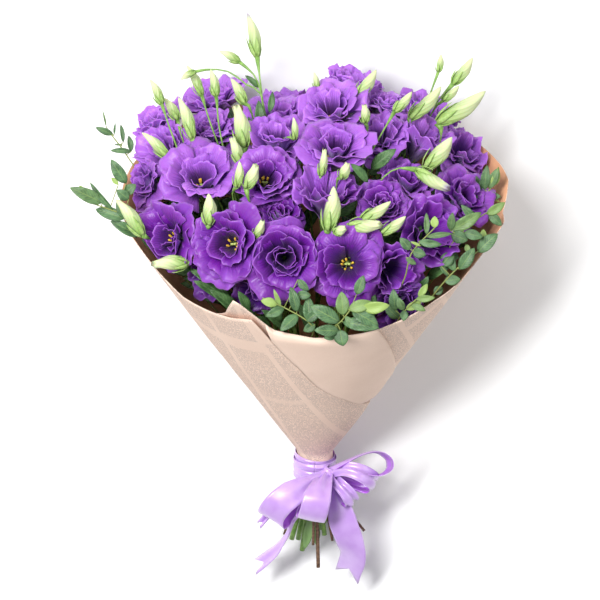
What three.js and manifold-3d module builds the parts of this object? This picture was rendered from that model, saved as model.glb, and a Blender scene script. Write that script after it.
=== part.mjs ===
// A hand-tied bouquet of violet lisianthus in a cone of kraft paper, lying on its back.
// Millimetres, +Z up, head of the bouquet towards +Y, the side that shows towards +Z.
import * as THREE from "three";
import { mergeVertices } from "three/addons/utils/BufferGeometryUtils.js";
import Module from "manifold-3d";

const wasm = await Module();
wasm.setup();

// How the bouquet lies. Its shapes are given in a front frame with the tie at the origin:
// x to the right, y up the bouquet as seen from its front, z out towards the viewer.
const FRONT_LEAN = THREE.MathUtils.degToRad(8);
const TIE_HEIGHT = 48.8;
const AXIS_RISE = THREE.MathUtils.degToRad(30);

// Driving sizes
const NECK_RADIUS = 14;
const CONE_HALF_ANGLE = THREE.MathUtils.degToRad(31.5);
const PAPER_THICKNESS = 0.8;
const PETAL_THICKNESS = 0.8;
const LEAF_THICKNESS = 0.8;
const RIBBON_WIDTH = 25;
const RIBBON_THICKNESS = 0.8;
const STEM_RADIUS = 1.9;
const BRANCH_RADIUS = 1.0;
const TWIG_RADIUS = 1.1;
const STEM_END = 84;
const CLEARANCE = 0.3;
const FINENESS = 0.06;

const AXIS = new THREE.Vector3(0, Math.cos(AXIS_RISE), Math.sin(AXIS_RISE));
const FRONT = new THREE.Vector3(0, -Math.sin(AXIS_RISE), Math.cos(AXIS_RISE));
const RIGHT = new THREE.Vector3(1, 0, 0);
const SKY = new THREE.Vector3(0, -Math.sin(FRONT_LEAN), Math.cos(FRONT_LEAN));

const vec = (x, y, z) => new THREE.Vector3(x, y, z);
const rad = THREE.MathUtils.degToRad;

// A draw between 0 and 1 that is the same every time for the same two numbers
function chance(seed, index) {
  const wave = Math.sin(seed * 78.233 + index * 12.9898) * 43758.5453;
  return wave - Math.floor(wave);
}

// Heights above the surface that the bouquet lies on
const heightOf = (point) => TIE_HEIGHT + point.dot(SKY);

function raisedTo(point, lowest) {
  const short = lowest - heightOf(point);
  return short > 0 ? point.clone().addScaledVector(SKY, short) : point.clone();
}

// A point by its distance along the cone's axis, its turn from the front to the left, and its radius
function aroundAxis(along, turn, radius) {
  return AXIS.clone().multiplyScalar(along)
    .addScaledVector(RIGHT, -radius * Math.sin(turn))
    .addScaledVector(FRONT, radius * Math.cos(turn));
}

const coneRadius = (along) => NECK_RADIUS + Math.max(0, along) * Math.tan(CONE_HALF_ANGLE);

// Solids and booleans
function toSolid(geometry) {
  const bare = geometry.clone();
  bare.deleteAttribute("normal");
  bare.deleteAttribute("uv");
  const merged = mergeVertices(bare, 1e-4);
  return new wasm.Manifold(new wasm.Mesh({
    numProp: 3,
    vertProperties: new Float32Array(merged.getAttribute("position").array),
    triVerts: new Uint32Array(merged.index.array),
  }));
}

function geometryOf(points, faces) {
  const geometry = new THREE.BufferGeometry();
  geometry.setAttribute("position", new THREE.Float32BufferAttribute(points.flatMap((p) => p.toArray()), 3));
  geometry.setIndex(faces.flat());
  return geometry;
}

function largestPiece(solid) {
  const pieces = solid.decompose();
  return pieces.reduce((best, piece) => (piece.volume() > best.volume() ? piece : best));
}

const fused = (solids) => wasm.Manifold.union(solids);

// Thin sheets, from rows of points that run from side to side. Rows may differ in length.
function stitchRows(rows) {
  const points = rows.flat();
  const faces = [];
  let first = 0;
  for (let r = 0; r + 1 < rows.length; r += 1) {
    const near = rows[r].length;
    const far = rows[r + 1].length;
    const second = first + near;
    let i = 0;
    let j = 0;
    while (i < near - 1 || j < far - 1) {
      const stepNear = i < near - 1 ? (i + 1) / (near - 1) : Infinity;
      const stepFar = j < far - 1 ? (j + 1) / (far - 1) : Infinity;
      if (stepNear <= stepFar) {
        faces.push([first + i, first + i + 1, second + j]);
        i += 1;
      } else {
        faces.push([first + i, second + j + 1, second + j]);
        j += 1;
      }
    }
    first = second;
  }
  return { points, faces };
}

function vertexNormals(points, faces) {
  const normals = points.map(() => vec(0, 0, 0));
  for (const [a, b, c] of faces) {
    const across = points[b].clone().sub(points[a]);
    const normal = across.cross(points[c].clone().sub(points[a]));
    for (const corner of [a, b, c]) normals[corner].add(normal);
  }
  return normals.map((normal) => normal.normalize());
}

function thickened({ points, faces }, thickness, finish = (p) => p) {
  const normals = vertexNormals(points, faces);
  const half = thickness / 2;
  const count = points.length;
  const tops = points.map((p, i) => finish(p.clone().addScaledVector(normals[i], half), i, 1));
  const undersides = points.map((p, i) => finish(p.clone().addScaledVector(normals[i], -half), i, -1));
  const edges = new Set(faces.flatMap(([a, b, c]) => [`${a} ${b}`, `${b} ${c}`, `${c} ${a}`]));
  const walls = [];
  for (const edge of edges) {
    const [a, b] = edge.split(" ").map(Number);
    if (!edges.has(`${b} ${a}`)) {
      walls.push([b, a, a + count], [b, a + count, b + count]);
    }
  }
  const below = faces.map(([a, b, c]) => [a + count, c + count, b + count]);
  return geometryOf([...tops, ...undersides], [...faces, ...below, ...walls]);
}

// Round stems that follow points, each with its own radius
function tubeRings(points, radii, sides) {
  const rings = [];
  let side = null;
  points.forEach((point, i) => {
    const before = points[Math.max(0, i - 1)];
    const after = points[Math.min(points.length - 1, i + 1)];
    const along = after.clone().sub(before).normalize();
    side = (side ?? vec(0.31, 0.17, 0.93)).clone();
    side.addScaledVector(along, -side.dot(along)).normalize();
    const other = along.clone().cross(side);
    rings.push(Array.from({ length: sides }, (_, k) => {
      const turn = (2 * Math.PI * k) / sides;
      return point.clone()
        .addScaledVector(side, radii[i] * Math.cos(turn))
        .addScaledVector(other, radii[i] * Math.sin(turn));
    }));
  });
  return rings;
}

function tube(points, radii, sides) {
  const rings = tubeRings(points, radii, sides);
  const faces = [];
  for (let r = 0; r + 1 < rings.length; r += 1) {
    for (let k = 0; k < sides; k += 1) {
      const here = r * sides + k;
      const next = r * sides + ((k + 1) % sides);
      faces.push([here, next, next + sides], [here, next + sides, here + sides]);
    }
  }
  const last = (rings.length - 1) * sides;
  for (let k = 1; k + 1 < sides; k += 1) {
    faces.push([0, k + 1, k], [last, last + k, last + k + 1]);
  }
  return geometryOf(rings.flat(), faces);
}

function curveThrough(points, count) {
  return new THREE.CatmullRomCurve3(points, false, "centripetal").getPoints(count);
}

// A turned shape that stands on a base point and points along a direction
function turned(profile, base, direction, sides) {
  const geometry = new THREE.LatheGeometry(profile.map(([r, h]) => new THREE.Vector2(r, h)), sides);
  const turn = new THREE.Quaternion().setFromUnitVectors(vec(0, 1, 0), direction.clone().normalize());
  geometry.applyQuaternion(turn);
  geometry.translate(base.x, base.y, base.z);
  return geometry;
}

// Blooms: where the middle of the opening is, which way it faces, its rim radius and its form.
const BLOOMS = [
  { name: "bloom_01", at: [-99, 238, 137], face: [-0.05, 0.6, 0.8], radius: 35, form: "cup", stem: 1 },
  { name: "bloom_02", at: [-127, 186, 160], face: [-0.5, 0.1, 0.85], radius: 31, form: "cup", stem: 2 },
  { name: "bloom_03", at: [-75, 180, 184], face: [-0.4, 0, 0.9], radius: 34, form: "cup", stem: 3 },
  { name: "bloom_04", at: [-26, 168, 195], face: [0.05, 0, 1], radius: 33, form: "rose", stem: 4 },
  { name: "bloom_05", at: [28, 162, 197], face: [-0.05, -0.1, 1], radius: 32, form: "open", stem: 5 },
  { name: "bloom_06", at: [-31, 204, 172], face: [0.1, 0.7, 0.7], radius: 23, form: "rose", stem: 4 },
  { name: "bloom_07", at: [-43, 237, 164], face: [0.1, 0.4, 0.9], radius: 29, form: "cup", stem: 7 },
  { name: "bloom_08", at: [10, 221, 180], face: [0.05, 0.8, 0.6], radius: 30, form: "bell", stem: 6 },
  { name: "bloom_09", at: [17, 262, 147], face: [0.05, 0.75, 0.65], radius: 33, form: "cup", stem: 8 },
  { name: "bloom_10", at: [16, 297, 95], face: [-0.05, 0.75, 0.65], radius: 33, form: "cup", stem: 9 },
  { name: "bloom_11", at: [31, 319, 53], face: [0.2, 0.9, 0.4], radius: 26, form: "cup", stem: 9 },
  { name: "bloom_12", at: [60, 302, 68], face: [0.3, 0.85, 0.4], radius: 22, form: "rose", stem: 10 },
  { name: "bloom_13", at: [55, 272, 109], face: [-0.1, 0.7, 0.7], radius: 28, form: "frill", stem: 8 },
  { name: "bloom_14", at: [93, 271, 93], face: [0.4, 0.8, 0.4], radius: 26, form: "bell", stem: 10 },
  { name: "bloom_15", at: [129, 258, 62], face: [0.5, 0.6, 0.6], radius: 29, form: "frill", stem: 11 },
  { name: "bloom_16", at: [129, 219, 122], face: [0.55, 0.45, 0.7], radius: 29, form: "cup", stem: 11 },
  { name: "bloom_17", at: [99, 187, 170], face: [0.4, 0.1, 0.9], radius: 33, form: "bell", stem: 12 },
  { name: "bloom_18", at: [60, 212, 170], face: [0.1, 0.5, 0.85], radius: 25, form: "rose", stem: 6 },
  { name: "bloom_19", at: [80, 232, 133], face: [0.3, 0.7, 0.6], radius: 27, form: "cup", stem: 8 },
  { name: "bloom_20", at: [67, 157, 178], face: [0.4, -0.2, 0.9], radius: 26, form: "bell", stem: 5 },
  { name: "bloom_21", at: [-93, 279, 72], face: [-0.2, 0.75, 0.65], radius: 26, form: "rose", stem: 13 },
  { name: "bloom_22", at: [-137, 288, 60], face: [-0.5, 0.75, 0.4], radius: 26, form: "cup", stem: 14 },
  { name: "bloom_23", at: [-130, 260, 92], face: [-0.5, 0.5, 0.7], radius: 26, form: "bell", stem: 14 },
  { name: "bloom_24", at: [-33, 270, 128], face: [0, 0.75, 0.65], radius: 29, form: "cup", stem: 7 },
  { name: "bloom_25", at: [-88, 306, 38], face: [-0.2, 0.85, 0.45], radius: 29, form: "cup", stem: 13 },
  { name: "bloom_26", at: [-91, 152, 152], face: [-0.3, -0.2, 0.9], radius: 26, form: "bell", stem: 2 },
  { name: "bloom_27", at: [-49, 138, 172], face: [-0.1, -0.4, 0.9], radius: 26, form: "cup", stem: 3 },
  { name: "bloom_28", at: [-149, 232, 103], face: [-0.7, 0.35, 0.6], radius: 25, form: "cup", stem: 14 },
  { name: "bloom_29", at: [73, 128, 168], face: [0.3, -0.4, 0.85], radius: 24, form: "cup", stem: 12 },
  { name: "bloom_30", at: [98, 295, 42], face: [0.45, 0.8, 0.35], radius: 28, form: "cup", stem: 10 },
  { name: "bloom_31", at: [-33, 292, 79], face: [-0.05, 0.85, 0.5], radius: 28, form: "cup", stem: 9 },
  { name: "bloom_32", at: [-72, 248, 92], face: [-0.3, 0.7, 0.6], radius: 27, form: "cup", stem: 1 },
  { name: "bloom_33", at: [-28, 302, 26], face: [0, 0.95, 0.2], radius: 27, form: "cup", stem: 13 },
  { name: "bloom_34", at: [62, 296, 20], face: [0.3, 0.9, 0.15], radius: 25, form: "cup", stem: 10 },
];

// Forms: height over rim radius, and rings of petals from the outside in. A petal's reach and rise
// are shares of the bloom's radius and height, curl lays its lip over and flare keeps its foot slim.
const FORMS = {
  cup: {
    height: 1.1,
    rings: [
      { count: 5, reach: 1, rise: 0.86, curl: 0.7, flare: 0.25, ruffle: 2.4, lap: 1.5 },
      { count: 3, reach: 0.55, rise: 1, curl: 0.3, flare: 0.1, ruffle: 1.5, lap: 1.2 },
    ],
  },
  open: {
    height: 0.8,
    rings: [
      { count: 5, reach: 1, rise: 0.8, curl: 0.9, flare: 0.1, ruffle: 2, lap: 1.5 },
      { count: 3, reach: 0.72, rise: 1, curl: 0.6, flare: 0.1, ruffle: 1.5, lap: 1.2 },
    ],
  },
  rose: {
    height: 0.95,
    rings: [
      { count: 5, reach: 1, rise: 0.85, curl: 0.8, flare: 0, ruffle: 1.6, lap: 1.5 },
      { count: 3, reach: 0.42, rise: 1, curl: 0.3, flare: -0.7, ruffle: 0.8, lap: 1 },
    ],
  },
  bell: {
    height: 1.45,
    rings: [
      { count: 5, reach: 1, rise: 0.95, curl: 0.35, flare: 0.35, ruffle: 2.2, lap: 1.5 },
      { count: 3, reach: 0.6, rise: 1, curl: 0.15, flare: 0.1, ruffle: 1.4, lap: 1.2 },
    ],
  },
  frill: {
    height: 1,
    rings: [
      { count: 5, reach: 1, rise: 0.8, curl: 0.8, flare: 0.1, ruffle: 3, lap: 1.5 },
      { count: 3, reach: 0.62, rise: 1, curl: 0.6, flare: -0.2, ruffle: 2.4, lap: 1.2 },
    ],
  },
};
const SEEN_HEIGHT = 0.62;
const CORE_FOOT = [3.2, 1.5];
const CROWD_SHARPNESS = 12;
const FULLNESS = 1.3;

function bloomFrame(bloom) {
  const at = vec(...bloom.at);
  const up = vec(...bloom.face).normalize();
  const side = Math.abs(up.x) < 0.9 ? vec(1, 0, 0) : vec(0, 1, 0);
  side.addScaledVector(up, -side.dot(up)).normalize();
  const radius = FULLNESS * bloom.radius;
  const height = FORMS[bloom.form].height * bloom.radius;
  const foot = at.clone().addScaledVector(up, -SEEN_HEIGHT * height);
  return { ...bloom, at, up, side, other: up.clone().cross(side), radius, height, foot };
}

const blooms = BLOOMS.map(bloomFrame);

// Neighbours press against each other at a flat between them, and their petals give way before it
function pressPlanes(bloom) {
  const planes = [];
  for (const near of blooms) {
    const gap = near.at.clone().sub(bloom.at);
    const distance = gap.length();
    if (near !== bloom && distance < near.radius + bloom.radius + 14) {
      const share = bloom.radius / (bloom.radius + near.radius);
      const normal = gap.multiplyScalar(1 / distance);
      planes.push({ normal, limit: distance * share - 0.3 });
    }
  }
  const along = bloom.at.dot(AXIS);
  const outward = bloom.at.clone().addScaledVector(AXIS, -along);
  const wall = outward.clone().normalize().multiplyScalar(Math.cos(CONE_HALF_ANGLE))
    .addScaledVector(AXIS, -Math.sin(CONE_HALF_ANGLE));
  const room = (coneRadius(along) - outward.length()) * Math.cos(CONE_HALF_ANGLE) - 3;
  planes.push({ normal: wall, limit: room });
  planes.push({ normal: SKY.clone().negate(), limit: heightOf(bloom.at) - 2.5 });
  return planes;
}

// How much of its full reach a bloom keeps in a direction, between its neighbours
function freeShare(bloom, planes, direction) {
  const top = bloom.foot.clone().addScaledVector(bloom.up, 0.8 * bloom.height);
  let crowding = 1;
  for (const { normal, limit } of planes) {
    const slope = direction.dot(normal);
    const room = limit - 1 - top.clone().sub(bloom.at).dot(normal);
    const share = Math.max(0.3, room / (Math.max(slope, 0.05) * bloom.radius));
    crowding += share ** -CROWD_SHARPNESS;
  }
  return crowding ** (-1 / CROWD_SHARPNESS);
}

function petalPoint(bloom, planes, ring, petal, u, v) {
  const seed = bloom.radius + 3 * ring.count + petal;
  const wave = 2 * Math.PI * chance(bloom.radius, 5);
  const middle = (2 * Math.PI * petal) / ring.count + wave;
  const apart = Math.max(0, 2 * v - 1);
  const turn = middle + u * (Math.PI / ring.count) * (1 - 0.1 * apart);
  const aim = bloom.side.clone().multiplyScalar(Math.cos(turn)).addScaledVector(bloom.other, Math.sin(turn));
  const t = v * (1 - 0.22 * u * u);
  const foot = ring.reach === 1 ? CORE_FOOT[0] : CORE_FOOT[1];
  const reach = bloom.radius * ring.reach * (0.96 + 0.08 * chance(seed, 2)) * freeShare(bloom, planes, aim);
  const rise = bloom.height * ring.rise * (0.96 + 0.08 * chance(seed, 3));
  const outward = (reach - foot) * (1 - ring.flare + 2 * ring.flare * t);
  const upward = rise * (1 + ring.curl - 2 * ring.curl * t);
  const steep = Math.atan2(upward, outward);
  const lap = ring.lap * u * apart;
  const ruffle = ring.ruffle * v * v * Math.sin(ring.count * 1.5 * turn + wave);
  const out = foot + (reach - foot) * ((1 - ring.flare) * t + ring.flare * t * t) + lap * Math.sin(steep);
  const up = 2.4 - 0.4 * foot + rise * ((1 + ring.curl) * t - ring.curl * t * t) - lap * Math.cos(steep) + ruffle;
  return bloom.foot.clone().addScaledVector(aim, out).addScaledVector(bloom.up, up);
}

// A ring of petals is one thin cup that parts into lobes above its middle, one edge over the next.
// It gives the points and faces of its middle surface, from the foot to the rim.
function petalRing(bloom, planes, ring) {
  const { count } = ring;
  const at = (petal, u, v) => petalPoint(bloom, planes, ring, petal, u, v);
  const petals = Array.from({ length: count }, (_, k) => k);
  const points = [
    ...petals.map((k) => at(k, 0, 0)),
    ...petals.flatMap((k) => [at(k, -1, 0.5), at(k, 0, 0.5)]),
    ...petals.flatMap((k) => [at(k, -1, 1), at(k, 0, 1), at(k, 1, 1)]),
  ];
  const low = (i) => count + (i % (2 * count));
  const high = (i) => 3 * count + (i % (3 * count));
  const faces = petals.flatMap((k) => [
    [k, low(2 * k + 1), low(2 * k)],
    [k, low(2 * k + 2), low(2 * k + 1)],
    [k, (k + 1) % count, low(2 * k + 2)],
    [low(2 * k), low(2 * k + 1), high(3 * k)],
    [low(2 * k + 1), high(3 * k + 1), high(3 * k)],
    [low(2 * k + 1), low(2 * k + 2), high(3 * k + 1)],
    [low(2 * k + 2), high(3 * k + 2), high(3 * k + 1)],
    [low(2 * k + 2), high(3 * k + 3), high(3 * k + 2)],
  ]);
  return { points, faces, count };
}

// The bloom is one closed surface: up the outside of each ring, over its rim and down its inside
function bloomSurface(bloom, planes) {
  const points = [bloom.foot.clone()];
  const faces = [];
  let valley = null;
  for (const ring of FORMS[bloom.form].rings) {
    const { points: middles, faces: outer, count } = petalRing(bloom, planes, ring);
    const normals = vertexNormals(middles, outer);
    const half = PETAL_THICKNESS / 2;
    const outside = points.length;
    points.push(...middles.map((p, i) => p.clone().addScaledVector(normals[i], half)));
    const inside = points.length;
    points.push(...middles.map((p, i) => p.clone().addScaledVector(normals[i], -half)));
    faces.push(...outer.map((face) => face.map((i) => i + outside)));
    faces.push(...outer.map(([a, b, c]) => [a + inside, c + inside, b + inside]));
    for (let i = 0; i < 3 * count; i += 1) {
      const here = 3 * count + i;
      const next = 3 * count + ((i + 1) % (3 * count));
      faces.push([here + inside, here + outside, next + outside]);
      faces.push([next + inside, here + inside, next + outside]);
    }
    const loop = Array.from({ length: count }, (_, i) => i + outside);
    if (valley) joinLoops(faces, valley, loop);
    else loop.forEach((p, i) => faces.push([0, loop[(i + 1) % count], p]));
    valley = Array.from({ length: count }, (_, i) => i + inside);
  }
  const middle = points.push(bloom.foot.clone().addScaledVector(bloom.up, 2.4)) - 1;
  valley.forEach((p, i) => faces.push([middle, p, valley[(i + 1) % valley.length]]));
  return geometryOf(points, faces);
}

// Joins two closed loops that may have different numbers of points
function joinLoops(faces, near, far) {
  let i = 0;
  let j = 0;
  while (i < near.length || j < far.length) {
    if (j >= far.length || (i < near.length && (i + 1) / near.length <= (j + 1) / far.length)) {
      faces.push([near[i % near.length], near[(i + 1) % near.length], far[j % far.length]]);
      i += 1;
    } else {
      faces.push([far[j % far.length], near[i % near.length], far[(j + 1) % far.length]]);
      j += 1;
    }
  }
}

function bloomSolid(bloom) {
  const planes = pressPlanes(bloom);
  let solid = toSolid(bloomSurface(bloom, planes));
  for (const { normal, limit } of planes) {
    const edge = bloom.at.dot(normal) + limit;
    solid = solid.trimByPlane(normal.clone().negate().toArray(), -edge);
  }
  return solid;
}

// Buds: foot and tip in the front frame, belly radius, and the points that their stalk passes.
const BUDS = [
  { stem: 7, foot: [-51, 346, 95], tip: [-60, 384, 92], belly: 5, via: [[-42, 276, 104]] },
  { stem: 7, foot: [-67, 341, 97], tip: [-84, 350, 100], belly: 3.6, via: [[-44, 290, 103], [-52, 326, 98]] },
  { stem: 13, foot: [-100, 312, 84], tip: [-113, 338, 82], belly: 4, via: [[-86, 270, 98]] },
  { stem: 7, foot: [-106, 332, 99], tip: [-118, 325, 102], belly: 3, via: [[-46, 300, 102], [-73, 330, 98], [-91, 336, 98]] },
  { stem: 1, foot: [-87, 311, 106], tip: [-92, 334, 104], belly: 3.8, via: [[-80, 262, 118]] },
  { stem: 14, foot: [-135, 304, 104], tip: [-145, 325, 104], belly: 3.8, via: [[-120, 262, 118]] },
  { stem: 14, foot: [-121, 290, 92], tip: [-133, 309, 90], belly: 4.4, via: [[-113, 262, 98]] },
  { stem: 1, foot: [-108, 273, 118], tip: [-120, 309, 118], belly: 5.4, via: [[-97, 250, 110]] },
  { stem: 1, foot: [-129, 256, 128], tip: [-152, 278, 128], belly: 4.4, via: [[-112, 240, 118]] },
  { stem: 7, foot: [-62, 304, 106], tip: [-74, 326, 104], belly: 4.4, via: [[-52, 280, 108]] },
  { stem: 7, foot: [-62, 265, 138], tip: [-69, 300, 136], belly: 7, via: [[-58, 240, 130]] },
  { stem: 7, foot: [-66, 251, 152], tip: [-73, 272, 154], belly: 4.6, via: [[-62, 235, 138]] },
  { stem: 1, foot: [-70, 226, 160], tip: [-67, 250, 166], belly: 4, via: [[-68, 212, 144]] },
  { stem: 9, foot: [2, 316, 84], tip: [-1, 332, 84], belly: 2.6, via: [[-8, 280, 88]] },
  { stem: 9, foot: [36, 309, 92], tip: [54, 334, 90], belly: 5.4, via: [[38, 280, 96]] },
  { stem: 10, foot: [109, 333, 78], tip: [111, 348, 77], belly: 3, via: [[92, 286, 66]] },
  { stem: 10, foot: [122, 322, 82], tip: [139, 345, 82], belly: 4.8, via: [[88, 276, 66], [103, 300, 74]] },
  { stem: 10, foot: [113, 307, 84], tip: [127, 320, 84], belly: 3.4, via: [[96, 280, 72]] },
  { stem: 10, foot: [84, 291, 98], tip: [111, 319, 98], belly: 6, via: [[78, 270, 92]] },
  { stem: 11, foot: [108, 287, 96], tip: [150, 315, 100], belly: 7.4, via: [[108, 262, 90]] },
  { stem: 8, foot: [70, 297, 126], tip: [85, 314, 126], belly: 4, via: [[40, 240, 140], [50, 262, 138]] },
  { stem: 8, foot: [97, 247, 134], tip: [120, 274, 138], belly: 7, via: [[86, 228, 112]] },
  { stem: 6, foot: [5, 240, 174], tip: [8, 262, 178], belly: 3.6, via: [[3, 216, 156]] },
  { stem: 8, foot: [89, 245, 160], tip: [116, 229, 162], belly: 6, via: [[46, 214, 144], [56, 234, 158], [71, 246, 162]] },
  { stem: 6, foot: [11, 192, 207], tip: [16, 230, 210], belly: 7, via: [[6, 180, 176]] },
  { stem: 5, foot: [40, 200, 196], tip: [66, 217, 198], belly: 5, via: [[22, 176, 168]] },
  { stem: 5, foot: [30, 196, 204], tip: [56, 197, 210], belly: 6, via: [[16, 176, 176]] },
  { stem: 12, foot: [58, 189, 198], tip: [79, 204, 200], belly: 4.6, via: [[54, 166, 164]] },
  { stem: 14, foot: [-151, 188, 138], tip: [-174, 219, 138], belly: 6, via: [[-128, 172, 116]] },
  { stem: 2, foot: [-112, 163, 178], tip: [-140, 162, 184], belly: 6.4, via: [[-100, 166, 150]] },
  { stem: 3, foot: [-93, 197, 186], tip: [-93, 224, 188], belly: 6, via: [[-90, 178, 160]] },
  { stem: 4, foot: [-52, 186, 196], tip: [-46, 200, 204], belly: 4, via: [[-52, 168, 168]] },
];

// Flowering stems: where each passes the tie, as shares of the neck's room to the right and to the
// front, and how far along its way to the blooms it forks.
const NECK_ROOM = 8.4;
const FORK = 0.58;
const END_SPREAD = 3;

function stemRoute(number) {
  const heads = blooms.filter((bloom) => bloom.stem === number);
  const aim = heads.reduce((sum, bloom) => sum.add(bloom.foot), vec(0, 0, 0)).multiplyScalar(1 / heads.length);
  const along = aim.dot(AXIS);
  const offset = aim.clone().addScaledVector(AXIS, -along).multiplyScalar(NECK_ROOM / (0.56 * along));
  const short = STEM_END + 16 * (chance(number, 5) - 0.5);
  const end = raisedTo(offset.clone().multiplyScalar(END_SPREAD).addScaledVector(AXIS, -short), STEM_RADIUS + 1);
  const low = offset.clone().addScaledVector(AXIS, -30);
  const high = offset.clone().addScaledVector(AXIS, 6);
  const fork = high.clone().lerp(aim, FORK);
  return { heads, end, low, high, fork, aim };
}

// Branches leave the stem one below the other
const forkPoint = (route, count) => route.high.clone().lerp(route.fork, 0.985 - 0.07 * count);

// Below the rim, whatever grows stays inside the cone
function withinPaper(point) {
  const along = point.dot(AXIS);
  const outward = point.clone().addScaledVector(AXIS, -along);
  const turn = THREE.MathUtils.radToDeg(Math.atan2(-outward.dot(RIGHT), outward.dot(FRONT)));
  const room = coneRadius(along) - 4;
  const below = along < rimAt(turn > SHEET_START - 24 ? turn - 360 : turn) + 6;
  const over = outward.length() - room;
  const inside = below && over > 0 ? point.clone().addScaledVector(outward.normalize(), -over) : point;
  return raisedTo(inside, 4);
}

function leafSolid(base, tip, facing, width, bend, extra = 0) {
  const along = tip.clone().sub(base);
  const length = along.length();
  along.normalize();
  const normal = facing.clone().addScaledVector(along, -facing.dot(along)).normalize();
  const side = along.clone().cross(normal);
  const row = (t, half) => {
    const middle = base.clone().addScaledVector(along, t * length)
      .addScaledVector(normal, bend * length * 4 * t * (1 - t));
    const edge = (sign) => middle.clone().addScaledVector(side, sign * half).addScaledVector(normal, 0.22 * half);
    return half ? [edge(-1), edge(1)] : [middle];
  };
  const over = extra / length;
  const rows = [
    row(-over, 0), row(0.3, 0.42 * width + extra), row(0.68, 0.46 * width + extra), row(1 + over, 0),
  ];
  return toSolid(thickened(stitchRows(rows), LEAF_THICKNESS + 2 * extra));
}

const BUD_SHAPE = [[0.86, 0.28], [0.8, 0.62]];
const CALYX_RADIUS = 3.2;

// A three-sided stalk that widens into a four-sided head and ends in a point or a flat
function stalkSolid(points, radius, head, tip) {
  const stalk = tubeRings(points, points.map(() => radius), 3);
  const heads = tubeRings(head.map((each) => each.at), head.map((each) => each.radius), 4);
  const rings = [...stalk, ...heads];
  const flat = rings.flat();
  const end = flat.push(tip) - 1;
  const faces = [[0, 2, 1]];
  let first = 0;
  for (let r = 0; r + 1 < rings.length; r += 1) {
    const near = rings[r].map((_, i) => first + i);
    first += near.length;
    joinLoops(faces, near, rings[r + 1].map((_, i) => first + i));
  }
  const last = rings[rings.length - 1].map((_, i) => first + i);
  last.forEach((p, i) => faces.push([p, last[(i + 1) % last.length], end]));
  return toSolid(geometryOf(flat, faces));
}

function budStalk(bud, points, extra) {
  const foot = vec(...bud.foot);
  const along = vec(...bud.tip).sub(foot);
  const tip = foot.clone().add(along).addScaledVector(along.clone().normalize(), 2 * extra);
  const head = BUD_SHAPE.map(([r, h]) => ({
    at: foot.clone().addScaledVector(along, h), radius: r * bud.belly + 1.3 * extra,
  }));
  return stalkSolid([...points, foot], BRANCH_RADIUS + extra, head, tip);
}

function floweringStem(number, extra = 0) {
  const route = stemRoute(number);
  const spine = [route.end, route.low, route.high, route.fork];
  let forks = 0;
  const radii = [1, 1, 1, 0.8].map((share) => share * STEM_RADIUS + extra);
  const parts = [toSolid(tube(spine, radii, 3))];
  for (const bloom of route.heads) {
    const neck = bloom.foot.clone().addScaledVector(bloom.up, -6);
    const start = forkPoint(route, forks);
    forks += 1;
    const reach = neck.distanceTo(start);
    const bow = neck.clone().addScaledVector(bloom.up, -0.3 * reach).lerp(start, 0.4);
    const seat = bloom.foot.clone().addScaledVector(bloom.up, -CLEARANCE - 0.1);
    const under = seat.clone().addScaledVector(bloom.up, -0.5);
    const head = [{ at: under, radius: CALYX_RADIUS }];
    parts.push(stalkSolid([start, bow, neck], BRANCH_RADIUS + 0.2 + extra, head, seat));
  }
  for (const bud of BUDS.filter((each) => each.stem === number)) {
    const start = forkPoint(route, forks);
    forks += 1;
    parts.push(budStalk(bud, [start, ...bud.via.map((p) => withinPaper(vec(...p)))], extra));
  }
  return fused(parts);
}

// Leafy twigs at the rim, given by the points that they pass, with the leaves in crossed pairs
const TWIGS = [
  { name: "twig_front_left", path: [[-6, 92, 176], [-2, 108, 209], [-22, 122, 214], [-46, 133, 214]], pairs: 4, leaf: 23 },
  { name: "twig_front", path: [[12, 90, 178], [12, 104, 210], [22, 112, 221], [30, 122, 226]], pairs: 3, leaf: 27 },
  { name: "twig_front_right", path: [[58, 92, 150], [74, 116, 188], [84, 128, 198], [96, 138, 198]], pairs: 3, leaf: 22 },
  { name: "twig_right_low", path: [[92, 120, 140], [112, 146, 164], [130, 164, 162], [148, 178, 156]], pairs: 4, leaf: 24 },
  { name: "twig_right_front", path: [[62, 118, 150], [78, 150, 190], [84, 172, 204], [106, 196, 208]], pairs: 4, leaf: 20 },
  { name: "twig_right", path: [[104, 150, 134], [118, 178, 156], [136, 198, 154], [158, 212, 144]], pairs: 4, leaf: 24 },
  { name: "twig_right_high", path: [[128, 196, 84], [150, 224, 92], [157, 238, 92], [160, 252, 90]], pairs: 3, leaf: 22 },
  { name: "twig_left", path: [[-124, 160, 112], [-150, 196, 140], [-168, 206, 144], [-196, 216, 148]], pairs: 4, leaf: 27 },
  { name: "twig_left_high", path: [[-128, 214, 70], [-156, 244, 80], [-168, 262, 84], [-182, 280, 84]], pairs: 3, leaf: 17 },
];

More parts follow.
